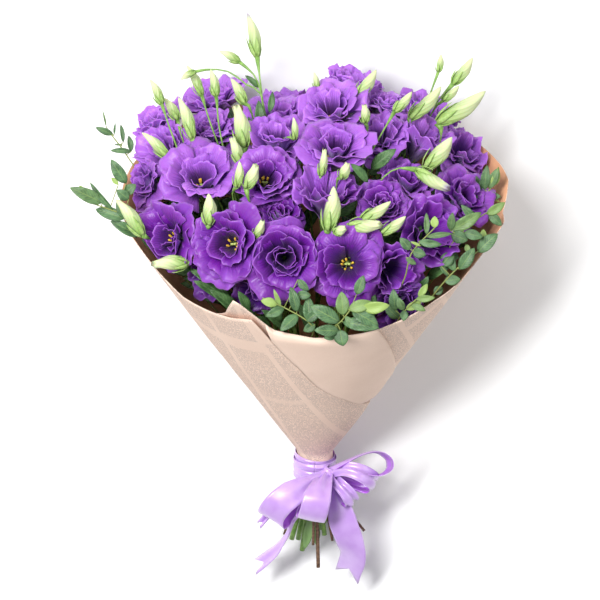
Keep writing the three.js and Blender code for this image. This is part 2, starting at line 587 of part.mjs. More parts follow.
function twigSolid(twig, number, extra = 0) {
  const path = twig.path.map((p) => vec(...p));
  const along = path[0].dot(AXIS);
  const side = path[0].clone().addScaledVector(AXIS, -along).normalize();
  const ringRadius = 10.6;
  const short = STEM_END - 6 + 26 * (chance(number, 21) - 0.3);
  const end = raisedTo(side.clone().multiplyScalar(ringRadius * 2.6).addScaledVector(AXIS, -short), TWIG_RADIUS + 1);
  const low = side.clone().multiplyScalar(ringRadius).addScaledVector(AXIS, -30);
  const high = side.clone().multiplyScalar(ringRadius).addScaledVector(AXIS, 6);
  const bend = side.clone().multiplyScalar(0.74 * coneRadius(0.55 * along)).addScaledVector(AXIS, 0.55 * along);
  const leafy = curveThrough(path, 4).map(withinPaper);
  const spine = [end, low, high, bend, ...leafy];
  const radii = spine.map((_, i) => TWIG_RADIUS * (i < 4 ? 1 : 1 - 0.05 * (i - 3)) + extra);
  const parts = [toSolid(tube(spine, radii, 3))];
  const curve = new THREE.CatmullRomCurve3(leafy, false, "centripetal");
  for (let k = 0; k < twig.pairs; k += 1) {
    const t = 0.42 + (0.56 * k) / (twig.pairs - 1);
    const base = curve.getPointAt(t);
    const tangent = curve.getTangentAt(t);
    const spin = k * (Math.PI / 2) + 0.5 * chance(number, 31 + k);
    const flat = vec(0, 0, 1).addScaledVector(tangent, -tangent.z).normalize();
    const across = tangent.clone().cross(flat);
    const length = twig.leaf * (1 - 0.12 * k) * (0.9 + 0.2 * chance(number, 41 + k));
    for (const sign of [1, -1]) {
      const out = across.clone().multiplyScalar(sign * Math.cos(spin)).addScaledVector(flat, sign * Math.sin(spin) * 0.6);
      const tip = base.clone().addScaledVector(out.normalize(), 0.8 * length).addScaledVector(tangent, 0.6 * length);
      const facing = flat.clone().addScaledVector(tangent, 0.4);
      parts.push(leafSolid(base, tip, facing, 0.46 * length, -0.05, extra));
    }
  }
  return fused(parts);
}

// The paper: one sheet rolled into a cone. Turns run on past the front as the sheet winds round to
// the right, and each rim point gives a turn in degrees and a distance along the axis.
const RIM = [
  [50, 186], [34, 205], [27, 232], [16, 196], [0, 188], [-24, 191], [-50, 206], [-66, 210], [-76, 252],
  [-88, 243], [-100, 256], [-140, 256], [-180, 262], [-250, 252], [-270, 248], [-285, 240], [-294, 220],
  [-306, 205], [-320, 205], [-329, 206], [-338, 211],
];
const LOOSE_EDGE = [[-15, -100], [45, -100], [66, -52], [96, -14.5], [150, 9.5], [211, 22]];
const FLAP_EDGE = [[70, -75], [100, -60], [139.5, -41.6], [191, -24]];
const SHEET_START = 50;
const SHEET_TURN = 388;
const SHEET_FOOT = -15;
const SHEET_ROWS = [0, 0.07, 0.4, 0.76, 1];
const WIDEST_STEP = 25;

function between(list, at) {
  const next = list.findIndex(([x]) => x > at);
  if (next === 0) return list[0][1];
  if (next < 0) return list[list.length - 1][1];
  const [x0, y0] = list[next - 1];
  const [x1, y1] = list[next];
  return y0 + ((y1 - y0) * (at - x0)) / (x1 - x0);
}

const rimAt = (turn) => between([...RIM].reverse(), turn);

// Layers lie further apart where the cone is wide
const layerGap = (along) => 1.6 + 3.6 * Math.min(1, Math.max(0, along) / 130);

function onPaper(along, turn, lift = 0) {
  const wound = (SHEET_START - turn) / 360;
  const radius = coneRadius(along) + layerGap(along) * (wound + lift);
  return raisedTo(aroundAxis(along, rad(turn), radius), PAPER_THICKNESS / 2);
}

// Where the sheet lies on the surface, its two faces are flat
function laidFlat(point) {
  const height = heightOf(point);
  const middle = PAPER_THICKNESS / 2;
  if (height >= 2 * PAPER_THICKNESS) return point;
  const target = height > middle ? Math.max(height, PAPER_THICKNESS) : 0;
  return point.addScaledVector(SKY, target - height);
}

function rimTurns() {
  const turns = [];
  RIM.forEach(([turn], i) => {
    const next = RIM[i + 1]?.[0] ?? turn;
    const steps = Math.max(1, Math.ceil((turn - next) / WIDEST_STEP));
    for (let k = 0; k < steps; k += 1) turns.push(turn + ((next - turn) * k) / steps);
  });
  return turns;
}

function paperSolid(extra = 0) {
  const turns = rimTurns();
  const rows = SHEET_ROWS.map((share) => {
    const endAlong = SHEET_FOOT + share * (rimAt(SHEET_START - SHEET_TURN) - SHEET_FOOT);
    const endTurn = between(LOOSE_EDGE, endAlong) - 360;
    return turns.map((rimTurn) => {
      const turn = SHEET_START + ((rimTurn - SHEET_START) * (endTurn - SHEET_START)) / -SHEET_TURN;
      const along = SHEET_FOOT + share * (rimAt(turn) - SHEET_FOOT);
      return onPaper(along + 2 * extra * (2 * share - 1), turn);
    });
  });
  const sheet = thickened(stitchRows(rows), PAPER_THICKNESS + 2 * extra, extra ? undefined : laidFlat);
  return toSolid(sheet);
}

// The corner that folds out over the rim in front and lies between the two layers
function flapSolid(extra = 0) {
  const rows = [192, 184, 130, 74].map((along, r) => {
    const left = Math.min(12, between(LOOSE_EDGE, along) + 9);
    const right = between(FLAP_EDGE, along);
    return Array.from({ length: 7 }, (_, k) => {
      const turn = left + ((right - left) * k) / 6;
      const fold = r === 0 ? rimAt(turn) + 0.3 : Math.min(along, rimAt(turn) - 6);
      return onPaper(fold, turn, r === 0 ? 0.05 : 0.5);
    });
  });
  return toSolid(thickened(stitchRows(rows), PAPER_THICKNESS + 2 * extra));
}

// The satin ribbon: a band round the neck, its knot, four loops and three tails. Each strip is given
// by the points of its middle line and the directions across it.
const BAND_RADIUS = NECK_RADIUS + 4.4;
const BAND = [-28, -5];
const KNOT = [12, -22, 9.6];
const KNOT_PROFILE = [[0, -8], [5.4, -4], [5.4, 4], [0, 8]];
const STRIPS = [
  {
    path: [KNOT, [-6, -38, 27], [-28, -50, 24], [-42, -56, 10], [-36, -56, -2], [-14, -40, 2], [10, -27, 6]],
    across: [[0.1, -0.9, 0.4], [0.3, -0.9, 0.3], [0.35, -0.9, 0.2], [0.4, -0.85, 0.2], [0.4, -0.85, 0.2],
      [0.3, -0.9, 0.3], [0.1, -0.9, 0.4]],
    width: [8, 20, 25, 25, 25, 18, 8],
  },
  {
    path: [KNOT, [4, -32, 28], [-2, -46, 36], [-4, -59, 30], [-4, -63, 20], [0, -50, 10], [10, -28, 7]],
    across: [[1, 0, 0], [1, -0.1, 0], [1, -0.12, 0], [1, -0.15, 0], [1, -0.15, 0], [1, -0.1, 0], [1, 0, 0]],
    width: [8, 20, 25, 25, 25, 20, 8],
  },
  {
    path: [KNOT, [33, -10, 14], [51, -4, 13], [64, -8, 12], [69, -17, 12], [62, -25, 12], [48, -26, 12],
      [30, -22, 12], [16, -23, 9]],
    across: [[0, 0.2, 1], [0, 0.2, 1], [0.1, 0.2, 1], [0.2, 0.2, 1], [0.2, 0, 1], [0.1, -0.2, 1],
      [0, -0.2, 1], [0, 0, 1], [0, 0, 1]],
    width: [7, 18, 25, 25, 25, 25, 22, 16, 7],
  },
  {
    path: [[15, -26, 12], [30, -29, 22], [44, -33, 20], [50, -39, 10], [44, -42, 0], [30, -34, 2], [16, -26, 7]],
    across: [[-0.4, -0.6, 0.7], [-0.4, -0.6, 0.7], [-0.4, -0.5, 0.7], [-0.5, -0.4, 0.7], [-0.4, -0.5, 0.7],
      [-0.4, -0.6, 0.7], [-0.4, -0.6, 0.7]],
    width: [7, 16, 22, 22, 20, 14, 7],
  },
  {
    path: [[14, -26, 10], [19, -44, 6], [21, -62, -1], [29, -84, -13], [34, -98, -32], [33, -108, -52]],
    across: [[1, 0, 0], [1, 0.2, 0.1], [1, 0.25, 0.1], [1, 0.15, 0.1], [1, 0, 0], [1, -0.1, 0]],
    width: [8, 18, 25, 25, 25, 25],
    tail: 12,
  },
  {
    path: [[12, -26, 8], [-4, -50, 2], [-18, -66, -2], [-27, -82, -14], [-38, -92, -34], [-50, -100, -54]],
    across: [[0.5, 0, 0.9], [0.3, 0.2, 0.9], [0.3, 0.3, 0.9], [0.4, 0.5, 0.8], [0.5, 0.7, 0.5], [0.6, 0.8, 0.1]],
    width: [7, 14, 18, 20, 22, 22],
    tail: 10,
  },
];

function stripSolid({ path, across, width, tail }) {
  const centres = new THREE.CatmullRomCurve3(path.map((p) => vec(...p)), false, "centripetal");
  const steps = path.length - 1;
  const rows = Array.from({ length: steps + 1 }, (_, i) => {
    const share = (i / steps) * (path.length - 1);
    const low = Math.min(path.length - 2, Math.floor(share));
    const side = vec(...across[low]).lerp(vec(...across[low + 1]), share - low).normalize();
    const half = THREE.MathUtils.lerp(width[low], width[low + 1], share - low) / 2;
    const middle = centres.getPoint(i / steps);
    return [middle.clone().addScaledVector(side, -half), middle.clone().addScaledVector(side, half)];
  });
  if (tail) {
    const [left, right] = rows[steps];
    const notch = left.clone().lerp(right, 0.5);
    const onward = centres.getTangent(1).multiplyScalar(tail);
    rows.push([left.clone().add(onward), notch, right.clone().add(onward)]);
  }
  const clear = rows.map((row) => row.map((p) => raisedTo(p, 1.5)));
  return toSolid(thickened(stitchRows(clear), RIBBON_THICKNESS));
}

function ribbonSolid() {
  const half = RIBBON_THICKNESS / 2;
  const profile = [
    [BAND_RADIUS - half, BAND[0]], [BAND_RADIUS + half, BAND[0]], [BAND_RADIUS + half, BAND[1]],
    [BAND_RADIUS - half, BAND[1]], [BAND_RADIUS - half, BAND[0]],
  ];
  const band = turned(profile, vec(0, 0, 0), AXIS, 12);
  const knot = turned(KNOT_PROFILE, vec(...KNOT), vec(0.9, 0.3, 0.1), 6);
  return fused([toSolid(band), toSolid(knot), ...STRIPS.map(stripSolid)]);
}

// Finishes
const finish = (color, roughness) => new THREE.MeshStandardMaterial({ color, roughness, metalness: 0 });
const PETAL_FINISH = finish(0x6a2fb4, 0.6);
const STEM_FINISH = finish(0x7d9a4c, 0.6);
const TWIG_FINISH = finish(0x557a4e, 0.6);
const PAPER_FINISH = finish(0xcfae95, 0.85);
const RIBBON_FINISH = finish(0xc6a2ee, 0.35);

const STEM_COUNT = 14;

function meet(a, b) {
  const p = a.boundingBox();
  const q = b.boundingBox();
  return [0, 1, 2].every((k) => p.min[k] < q.max[k] && q.min[k] < p.max[k]);
}

function cutClear(solid, obstacles) {
  const near = obstacles.filter((each) => meet(solid, each));
  const cleared = near.length ? solid.subtract(fused(near)) : solid;
  return largestPiece(largestPiece(cleared).simplify(FINENESS));
}

const bouquet = new THREE.Group();

function addMesh(name, solid, material, centre = vec(0, 0, 0)) {
  const { vertProperties, triVerts, numProp } = solid.getMesh();
  const geometry = new THREE.BufferGeometry();
  const positions = Float32Array.from({ length: (vertProperties.length / numProp) * 3 }, (_, i) =>
    vertProperties[Math.floor(i / 3) * numProp + (i % 3)]);
  geometry.setAttribute("position", new THREE.BufferAttribute(positions, 3));
  geometry.setIndex(new THREE.BufferAttribute(new Uint32Array(triVerts), 1));
  geometry.translate(-centre.x, -centre.y, -centre.z);
  geometry.computeVertexNormals();
  const mesh = new THREE.Mesh(geometry, material);
  mesh.name = name;
  mesh.position.copy(centre);
  bouquet.add(mesh);
}

const paper = fused([paperSolid(), flapSolid()]);
const ribbon = ribbonSolid();
addMesh("paper_wrap", largestPiece(paper).simplify(FINENESS), PAPER_FINISH);
addMesh("ribbon", cutClear(ribbon, [paperSolid(CLEARANCE)]), RIBBON_FINISH);

const obstacles = [paperSolid(CLEARANCE), flapSolid(CLEARANCE), ribbon];
for (let number = 1; number <= STEM_COUNT; number += 1) {
  const solid = cutClear(floweringStem(number), obstacles);
  addMesh(`flowering_stem_${String(number).padStart(2, "0")}`, solid, STEM_FINISH);
  obstacles.push(floweringStem(number, CLEARANCE));
}
TWIGS.forEach((twig, number) => {
  addMesh(twig.name, cutClear(twigSolid(twig, number), obstacles), TWIG_FINISH);
  obstacles.push(twigSolid(twig, number, CLEARANCE));
});
blooms.forEach((bloom) => {
  addMesh(bloom.name, cutClear(bloomSolid(bloom), obstacles), PETAL_FINISH, bloom.foot);
});

// The origin is on the surface, under the middle of the whole bouquet
bouquet.rotation.x = -FRONT_LEAN;
bouquet.position.z = TIE_HEIGHT;
const box = new THREE.Box3().setFromObject(bouquet, true);
bouquet.position.x -= (box.min.x + box.max.x) / 2;
bouquet.position.y -= (box.min.y + box.max.y) / 2;

export default bouquet;
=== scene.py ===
"""A tied bunch of lisianthus in a printed paper cone with a satin bow, lying on a pale floor."""
import math

import bpy
import numpy as np
from mathutils import Matrix, Vector


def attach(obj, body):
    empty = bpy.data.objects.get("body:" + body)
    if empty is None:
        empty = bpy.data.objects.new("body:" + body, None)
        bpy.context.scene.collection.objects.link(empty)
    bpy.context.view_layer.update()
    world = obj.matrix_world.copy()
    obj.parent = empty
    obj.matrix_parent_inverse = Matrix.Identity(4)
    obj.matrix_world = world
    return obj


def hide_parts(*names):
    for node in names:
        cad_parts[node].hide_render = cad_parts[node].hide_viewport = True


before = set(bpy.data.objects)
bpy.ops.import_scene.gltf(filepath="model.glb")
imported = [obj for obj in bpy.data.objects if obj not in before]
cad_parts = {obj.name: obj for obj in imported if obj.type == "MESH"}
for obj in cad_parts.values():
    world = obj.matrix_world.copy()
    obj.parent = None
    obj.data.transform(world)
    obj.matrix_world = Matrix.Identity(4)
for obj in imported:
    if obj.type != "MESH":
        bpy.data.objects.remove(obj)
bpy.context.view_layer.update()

bl_info = {
    "name": "Lisianthus Bunch",
    "version": (1, 0, 0),
    "blender": (4, 5, 0),
    "location": "View3D > Sidebar > Bunch",
    "description": "Dresses a tied bunch of lisianthus: blooms, buds, twigs, paper cone and satin bow",
    "category": "Object",
}

# ---- The bunch's own frame, in millimetres: x right, y up the bunch, z out to the viewer ----
FRONT_LEAN = math.radians(8)
TIE = np.array([14.9856, -135.2606, 48.8])
AXIS = np.array([0, math.cos(math.radians(30)), math.sin(math.radians(30))])
FRONT = np.array([0, -math.sin(math.radians(30)), math.cos(math.radians(30))])
RIGHT = np.array([1.0, 0, 0])
SKY = np.array([0, -math.sin(FRONT_LEAN), math.cos(FRONT_LEAN)])
# Span of a wave's start in radians, crossed waves of unevenness, steps between two points of a smooth path
WAVE_SPAN, NOISE_WAVES, CURVE_STEPS = 6.28, 5, 12
SHORTEST = 1e-9
NECK_RADIUS = 14.0
CONE_HALF_ANGLE = math.radians(31.5)


def to_row(points):
    """Millimetres in the bunch's frame to metres in the row's frame."""
    p = np.asarray(points, dtype=float)
    c, s = math.cos(FRONT_LEAN), math.sin(FRONT_LEAN)
    x, y, z = p[..., 0], p[..., 1], p[..., 2]
    return (np.stack([x, y * c + z * s, z * c - y * s], axis=-1) + TIE) / 1000


def chance(seed, index):
    """A fixed number from 0 to 1 for a pair of numbers."""
    value = math.sin(seed * 78.233 + index * 12.9898) * 43758.5453
    return value - math.floor(value)


def astray(seed, index):
    """A fixed number from -0.5 to 0.5 for a pair of numbers."""
    return chance(seed, index) - 0.5


def phase(seed, index):
    """Where a wave starts, in radians, fixed for a pair of numbers."""
    return WAVE_SPAN * chance(seed, index)


def unit(vector):
    vector = np.asarray(vector, dtype=float)
    return vector / np.linalg.norm(vector)


def raised_to(points, lowest):
    """Points no lower than this above the floor."""
    points = np.array(points, dtype=float)
    missing = np.maximum(lowest - (TIE[2] + points @ SKY), 0)
    return points + missing[..., None] * SKY


def cone_radius(along):
    return NECK_RADIUS + np.maximum(along, 0) * math.tan(CONE_HALF_ANGLE)


def shares(rows, columns, low=0.0):
    """Two grids: 0 to 1 up the rows, and low to 1 across the columns."""
    return np.meshgrid(np.linspace(0, 1, rows), np.linspace(low, 1, columns), indexing="ij")


def places_on(rows, columns, power=1.0):
    """Where the points of a grid lie on its surface: share across, share along."""
    along, across = shares(rows, columns)
    return np.stack([across, along**power], axis=-1)


def around(first, second, turn):
    """The way out at each turn, in radians, from the first direction towards the second."""
    turn = np.asarray(turn)[..., None]
    return first * np.cos(turn) + second * np.sin(turn)


def smooth_path(points, count):
    """Evenly spread points on a smooth curve through the given ones."""
    p = np.asarray(points, dtype=float)
    ends = np.vstack([2 * p[0] - p[1], p, 2 * p[-1] - p[-2]])
    curve = []
    for a, b, c, d in zip(ends, ends[1:], ends[2:], ends[3:]):
        for t in np.linspace(0, 1, CURVE_STEPS + 1)[:-1]:
            curve.append(0.5 * (2 * b + (c - a) * t + (2 * a - 5 * b + 4 * c - d) * t**2
                                + (3 * b - a - 3 * c + d) * t**3))
    curve = np.array(curve + [p[-1]])
    gone = np.concatenate([[0], np.cumsum(np.linalg.norm(np.diff(curve, axis=0), axis=1))])
    at = np.linspace(0, gone[-1], count)
    return np.stack([np.interp(at, gone, curve[:, k]) for k in range(3)], axis=1)


def directions(path):
    along = np.gradient(np.asarray(path, dtype=float), axis=0)
    return along / np.linalg.norm(along, axis=1)[:, None]


def hash_noise(points, scale, seed):
    """Smooth unevenness from -1 to 1, made of a few crossed waves."""
    p = np.asarray(points, dtype=float) / scale
    total = np.zeros(p.shape[:-1])
    for k in range(NOISE_WAVES):
        way = unit([astray(seed, k), astray(seed, k + 9), astray(seed, k + 18)])
        total += np.sin(p @ way * (3 + 2.3 * k) + phase(seed, k + 27)) / (1 + 0.5 * k)
    return total / 2.6


# ---- Meshes ----
def lay_places(mesh, places):
    """Gives each corner of a mesh its point's place, in the map that the materials read."""
    corners = np.empty(len(mesh.loops), dtype=np.int32)
    mesh.loops.foreach_get("vertex_index", corners)
    layer = mesh.uv_layers.new(name="place")
    layer.data.foreach_set("uv", places[corners].astype(np.float32).ravel())


class Form:
    """Gathers the faces of one piece, with their finish, place on the surface and tone."""

    def __init__(self):
        self.points, self.faces, self.finishes = [], [], []
        self.places, self.tones = [], []
        self.paths, self.leaves = [], []
        self.count = 0

    def add(self, points, faces, finish, places, tone):
        self.points.append(points)
        self.faces += [tuple(i + self.count for i in face) for face in faces]
        self.finishes += [finish] * len(faces)
        self.places.append(places.reshape(-1, 2))
        self.tones.append(tone)
        self.count += len(points)

    def blade(self, grid, finish, thickness, tone=0.0, places=None, back=None):
        """A thin closed blade round a grid of points. Its front is where rows and columns turn right-handed."""
        rows, columns = grid.shape[:2]
        by_row, by_column = np.gradient(grid, axis=0), np.gradient(grid, axis=1)
        normal = np.cross(by_column, by_row)
        normal /= np.maximum(np.linalg.norm(normal, axis=2), SHORTEST)[..., None]
        skins = [(grid + normal * sign * thickness / 2).reshape(-1, 3) for sign in (1, -1)]
        places = places_on(rows, columns) if places is None else places
        number = np.arange(rows * columns).reshape(rows, columns)
        a, b, c, d = number[:-1, :-1], number[:-1, 1:], number[1:, 1:], number[1:, :-1]
        front = np.stack([a, b, c, d], axis=-1).reshape(-1, 4)
        behind = front[:, ::-1] + number.size
        ring = np.concatenate([number[0, :], number[1:, -1], number[-1, -2::-1], number[-2:0:-1, 0]])
        after = np.roll(ring, -1)
        rim = np.stack([after, ring, ring + number.size, after + number.size], axis=-1)
        more = (np.vstack([behind, rim]) + self.count).tolist()
        self.add(np.vstack(skins), front.tolist(), finish, np.stack([places, places]),
                 np.full(2 * number.size, tone))
        self.faces += [tuple(face) for face in more]
        self.finishes += [finish if back is None else back] * len(behind) + [finish] * len(rim)

    def rings(self, rings, finish, tone, places):
        """A closed skin over rings of equal number, from the first to the last, its ends filled."""
        rows, sides = rings.shape[:2]
        number = np.arange(rows * sides).reshape(rows, sides)
        after = np.roll(number, -1, axis=1)
        faces = np.stack([number[:-1], after[:-1], after[1:], number[1:]], axis=-1).reshape(-1, 4).tolist()
        faces += [number[0, ::-1].tolist(), number[-1].tolist()]
        self.add(rings.reshape(-1, 3), faces, finish, places, np.full(number.size, tone))

    def tube(self, path, radii, finish, sides=7, tone=0.0):
        """Keeps a path, its radii and its tone for the tubes' tree."""
        path = np.asarray(path, dtype=float)
        radii, tone = (np.broadcast_to(np.asarray(each, dtype=float), (len(path),)) for each in (radii, tone))
        self.paths.append((finish, sides, path, radii, tone))

    def leaf(self, base, tip, facing, width, finish, tone):
        """Keeps where a leaf grows, which way it lies and its size for the leaves' tree."""
        base, tip, facing = (np.array(each, dtype=float) for each in (base, tip, facing))
        length = np.linalg.norm(tip - base)
        along = (tip - base) / length
        normal = unit(facing - along * (facing @ along))
        turned = Matrix((np.cross(along, normal), along, normal)).transposed().to_euler()
        self.leaves.append((finish, base, tuple(turned), (width, length, length), tone))

    def take(self, mesh, finish):
        """Adds a plain mesh that a tree made."""
        points, tone = np.empty(len(mesh.vertices) * 3), np.zeros(len(mesh.vertices))
        mesh.vertices.foreach_get("co", points)
        mesh.attributes["tone"].data.foreach_get("value", tone)
        places = np.zeros((len(mesh.vertices), 2))
        if "place" in mesh.attributes:
            by_corner, corners = np.empty(len(mesh.loops) * 2), np.empty(len(mesh.loops), dtype=int)
            mesh.attributes["place"].data.foreach_get("vector", by_corner)
            mesh.loops.foreach_get("vertex_index", corners)
            places[corners] = by_corner.reshape(-1, 2)
        faces = [tuple(face.vertices) for face in mesh.polygons]
        self.add(points.reshape(-1, 3), faces, finish, places, tone)
        bpy.data.meshes.remove(mesh)

    def grow(self, name, materials, leaf_size=1.0):
        """Runs the trees on the kept paths and leaves."""
        for finish, sides in sorted({path[:2] for path in self.paths}):
            kept = [path[2:] for path in self.paths if path[:2] == (finish, sides)]
            points, girths, tones = (np.concatenate(each) for each in zip(*kept))
            last = set(np.cumsum([len(path[0]) for path in kept]) - 1)
            edges = [(k, k + 1) for k in range(len(points)) if k not in last]
            self.take(grown(name, points, edges, {"girth": girths, "tone": tones}, tube_tree(),
                            Sides=sides, Finish=materials[finish]), finish)
        for finish in sorted({leaf[0] for leaf in self.leaves}):
            kept = [leaf[1:] for leaf in self.leaves if leaf[0] == finish]
            feet, turns, spreads, tones = (np.array(each, dtype=float) for each in zip(*kept))
            self.take(grown(name, feet, [], {"turn": turns, "spread": spreads, "tone": tones}, leaf_tree(),
                            Leaf=leaf_pattern(), Size=leaf_size, Finish=materials[finish]), finish)

    def made(self, name, materials):
        """The piece itself, with its materials, smooth shading, places and tones."""
        mesh = bpy.data.meshes.new(name)
        mesh.from_pydata(to_row(np.vstack(self.points)).tolist(), [], self.faces)
        lay_places(mesh, np.vstack(self.places))
        tones = mesh.attributes.new("tone", "FLOAT", "POINT")
        tones.data.foreach_set("value", np.concatenate(self.tones).astype(np.float32))
        for material in materials:
            mesh.materials.append(material)
        mesh.polygons.foreach_set("material_index", np.array(self.finishes, dtype=np.int32))
        mesh.polygons.foreach_set("use_smooth", np.ones(len(mesh.polygons), dtype=bool))
        mesh.update()
        piece = bpy.data.objects.new(name, mesh)
        bpy.context.scene.collection.objects.link(piece)
        return piece


# ---- Geometry Nodes trees ----
def geometry_tree(name, inputs):
    """An empty tree with a geometry in and out and named inputs."""
    tree = bpy.data.node_groups.new(name, "GeometryNodeTree")
    tree.is_modifier = True
    tree.interface.new_socket(name="Geometry", in_out="INPUT", socket_type="NodeSocketGeometry")
    for label, kind in inputs:
        tree.interface.new_socket(name=label, in_out="INPUT", socket_type=kind)
    tree.interface.new_socket(name="Geometry", in_out="OUTPUT", socket_type="NodeSocketGeometry")
    return tree, tree.nodes.new("NodeGroupInput"), tree.nodes.new("NodeGroupOutput")


def named_value(tree, name, kind):
    made = tree.nodes.new("GeometryNodeInputNamedAttribute")
    made.data_type = kind
    made.inputs["Name"].default_value = name
    return made.outputs["Attribute"]


def finished(tree, geometry, start, end):
    """Ends a tree in plain faces with their finish."""
    real, finish = tree.nodes.new("GeometryNodeRealizeInstances"), tree.nodes.new("GeometryNodeSetMaterial")
    tree.links.new(geometry, real.inputs["Geometry"])
    tree.links.new(real.outputs["Geometry"], finish.inputs["Geometry"])
    tree.links.new(start.outputs["Finish"], finish.inputs["Material"])
    tree.links.new(finish.outputs["Geometry"], end.inputs["Geometry"])
    return tree


def tube_tree():
    """Round stalks along paths, each point with its own girth."""
    if "Stalks Along Paths" in bpy.data.node_groups:
        return bpy.data.node_groups["Stalks Along Paths"]
    tree, start, end = geometry_tree("Stalks Along Paths", [
        ("Sides", "NodeSocketInt"), ("Finish", "NodeSocketMaterial"),
    ])
    new, join = tree.nodes.new, tree.links.new
    line, circle = new("GeometryNodeMeshToCurve"), new("GeometryNodeCurvePrimitiveCircle")
    skin = new("GeometryNodeCurveToMesh")
    join(start.outputs["Geometry"], line.inputs[0])
    join(line.outputs[0], skin.inputs["Curve"])
    join(named_value(tree, "girth", "FLOAT"), skin.inputs["Scale"])
    join(start.outputs["Sides"], circle.inputs["Resolution"])
    circle.inputs["Radius"].default_value = 1.0
    join(circle.outputs["Curve"], skin.inputs["Profile Curve"])
    skin.inputs["Fill Caps"].default_value = True
    return finished(tree, skin.outputs["Mesh"], start, end)


def leaf_tree():
    """A leaf on each point, turned and sized by the point's own values."""
    if "Leaves On Points" in bpy.data.node_groups:
        return bpy.data.node_groups["Leaves On Points"]
    tree, start, end = geometry_tree("Leaves On Points", [
        ("Leaf", "NodeSocketObject"), ("Size", "NodeSocketFloat"), ("Finish", "NodeSocketMaterial"),
    ])
    new, join = tree.nodes.new, tree.links.new
    put, shape, turn, times = (new("GeometryNodeInstanceOnPoints"), new("GeometryNodeObjectInfo"),
                               new("FunctionNodeEulerToRotation"), new("ShaderNodeVectorMath"))
    times.operation = "SCALE"
    join(start.outputs["Geometry"], put.inputs["Points"])
    join(start.outputs["Leaf"], shape.inputs["Object"])
    join(shape.outputs["Geometry"], put.inputs["Instance"])
    join(named_value(tree, "turn", "FLOAT_VECTOR"), turn.inputs[0])
    join(turn.outputs[0], put.inputs["Rotation"])
    join(named_value(tree, "spread", "FLOAT_VECTOR"), times.inputs[0])
    join(start.outputs["Size"], times.inputs["Scale"])
    join(times.outputs[0], put.inputs["Scale"])
    return finished(tree, put.outputs["Instances"], start, end)


def leaf_pattern():
    """One leaf of length and width 1, from its foot at the origin, that the tree repeats."""
    if "leaf_pattern" in bpy.data.objects:
        return bpy.data.objects["leaf_pattern"]
    v, u = shares(11, 7, -1)
    half = 0.5 * np.sin(np.pi * v**0.9) ** 0.72 + 0.02
    keel = 0.055 * np.abs(u) * np.sin(np.pi * v)
    rise = 0.07 * 4 * v * (1 - v) - 0.09 * v**2 + keel + 0.012 * np.sin(9 * v + 3 * u)
    form = Form()
    form.blade(np.stack([u * half, v, rise], axis=-1)[:, ::-1], 0, 0.014)
    mesh = bpy.data.meshes.new("leaf_pattern")
    mesh.from_pydata(np.vstack(form.points).tolist(), [], form.faces)
    lay_places(mesh, np.vstack(form.places))
    return bpy.data.objects.new("leaf_pattern", mesh)


def grown(name, points, edges, values, tree, **inputs):
    """The plain mesh that a tree makes from points, edges and values."""
    mesh = bpy.data.meshes.new(name)
    mesh.from_pydata(points.tolist(), edges, [])
    for label, numbers in values.items():
        kind, field = ("FLOAT", "value") if numbers.ndim == 1 else ("FLOAT_VECTOR", "vector")
        made = mesh.attributes.new(label, kind, "POINT")
        made.data.foreach_set(field, numbers.astype(np.float32).ravel())
    holder = bpy.data.objects.new(name, mesh)
    bpy.context.scene.collection.objects.link(holder)
    modifier = holder.modifiers.new("growth", "NODES")
    modifier.node_group = tree
    for item in tree.interface.items_tree:
        if item.in_out == "INPUT" and item.name in inputs:
            modifier[item.identifier] = inputs[item.name]
    bpy.context.view_layer.update()
    made = bpy.data.meshes.new_from_object(holder.evaluated_get(bpy.context.evaluated_depsgraph_get()))
    holder.modifiers.remove(modifier)
    bpy.data.objects.remove(holder)
    bpy.data.meshes.remove(mesh)
    return made


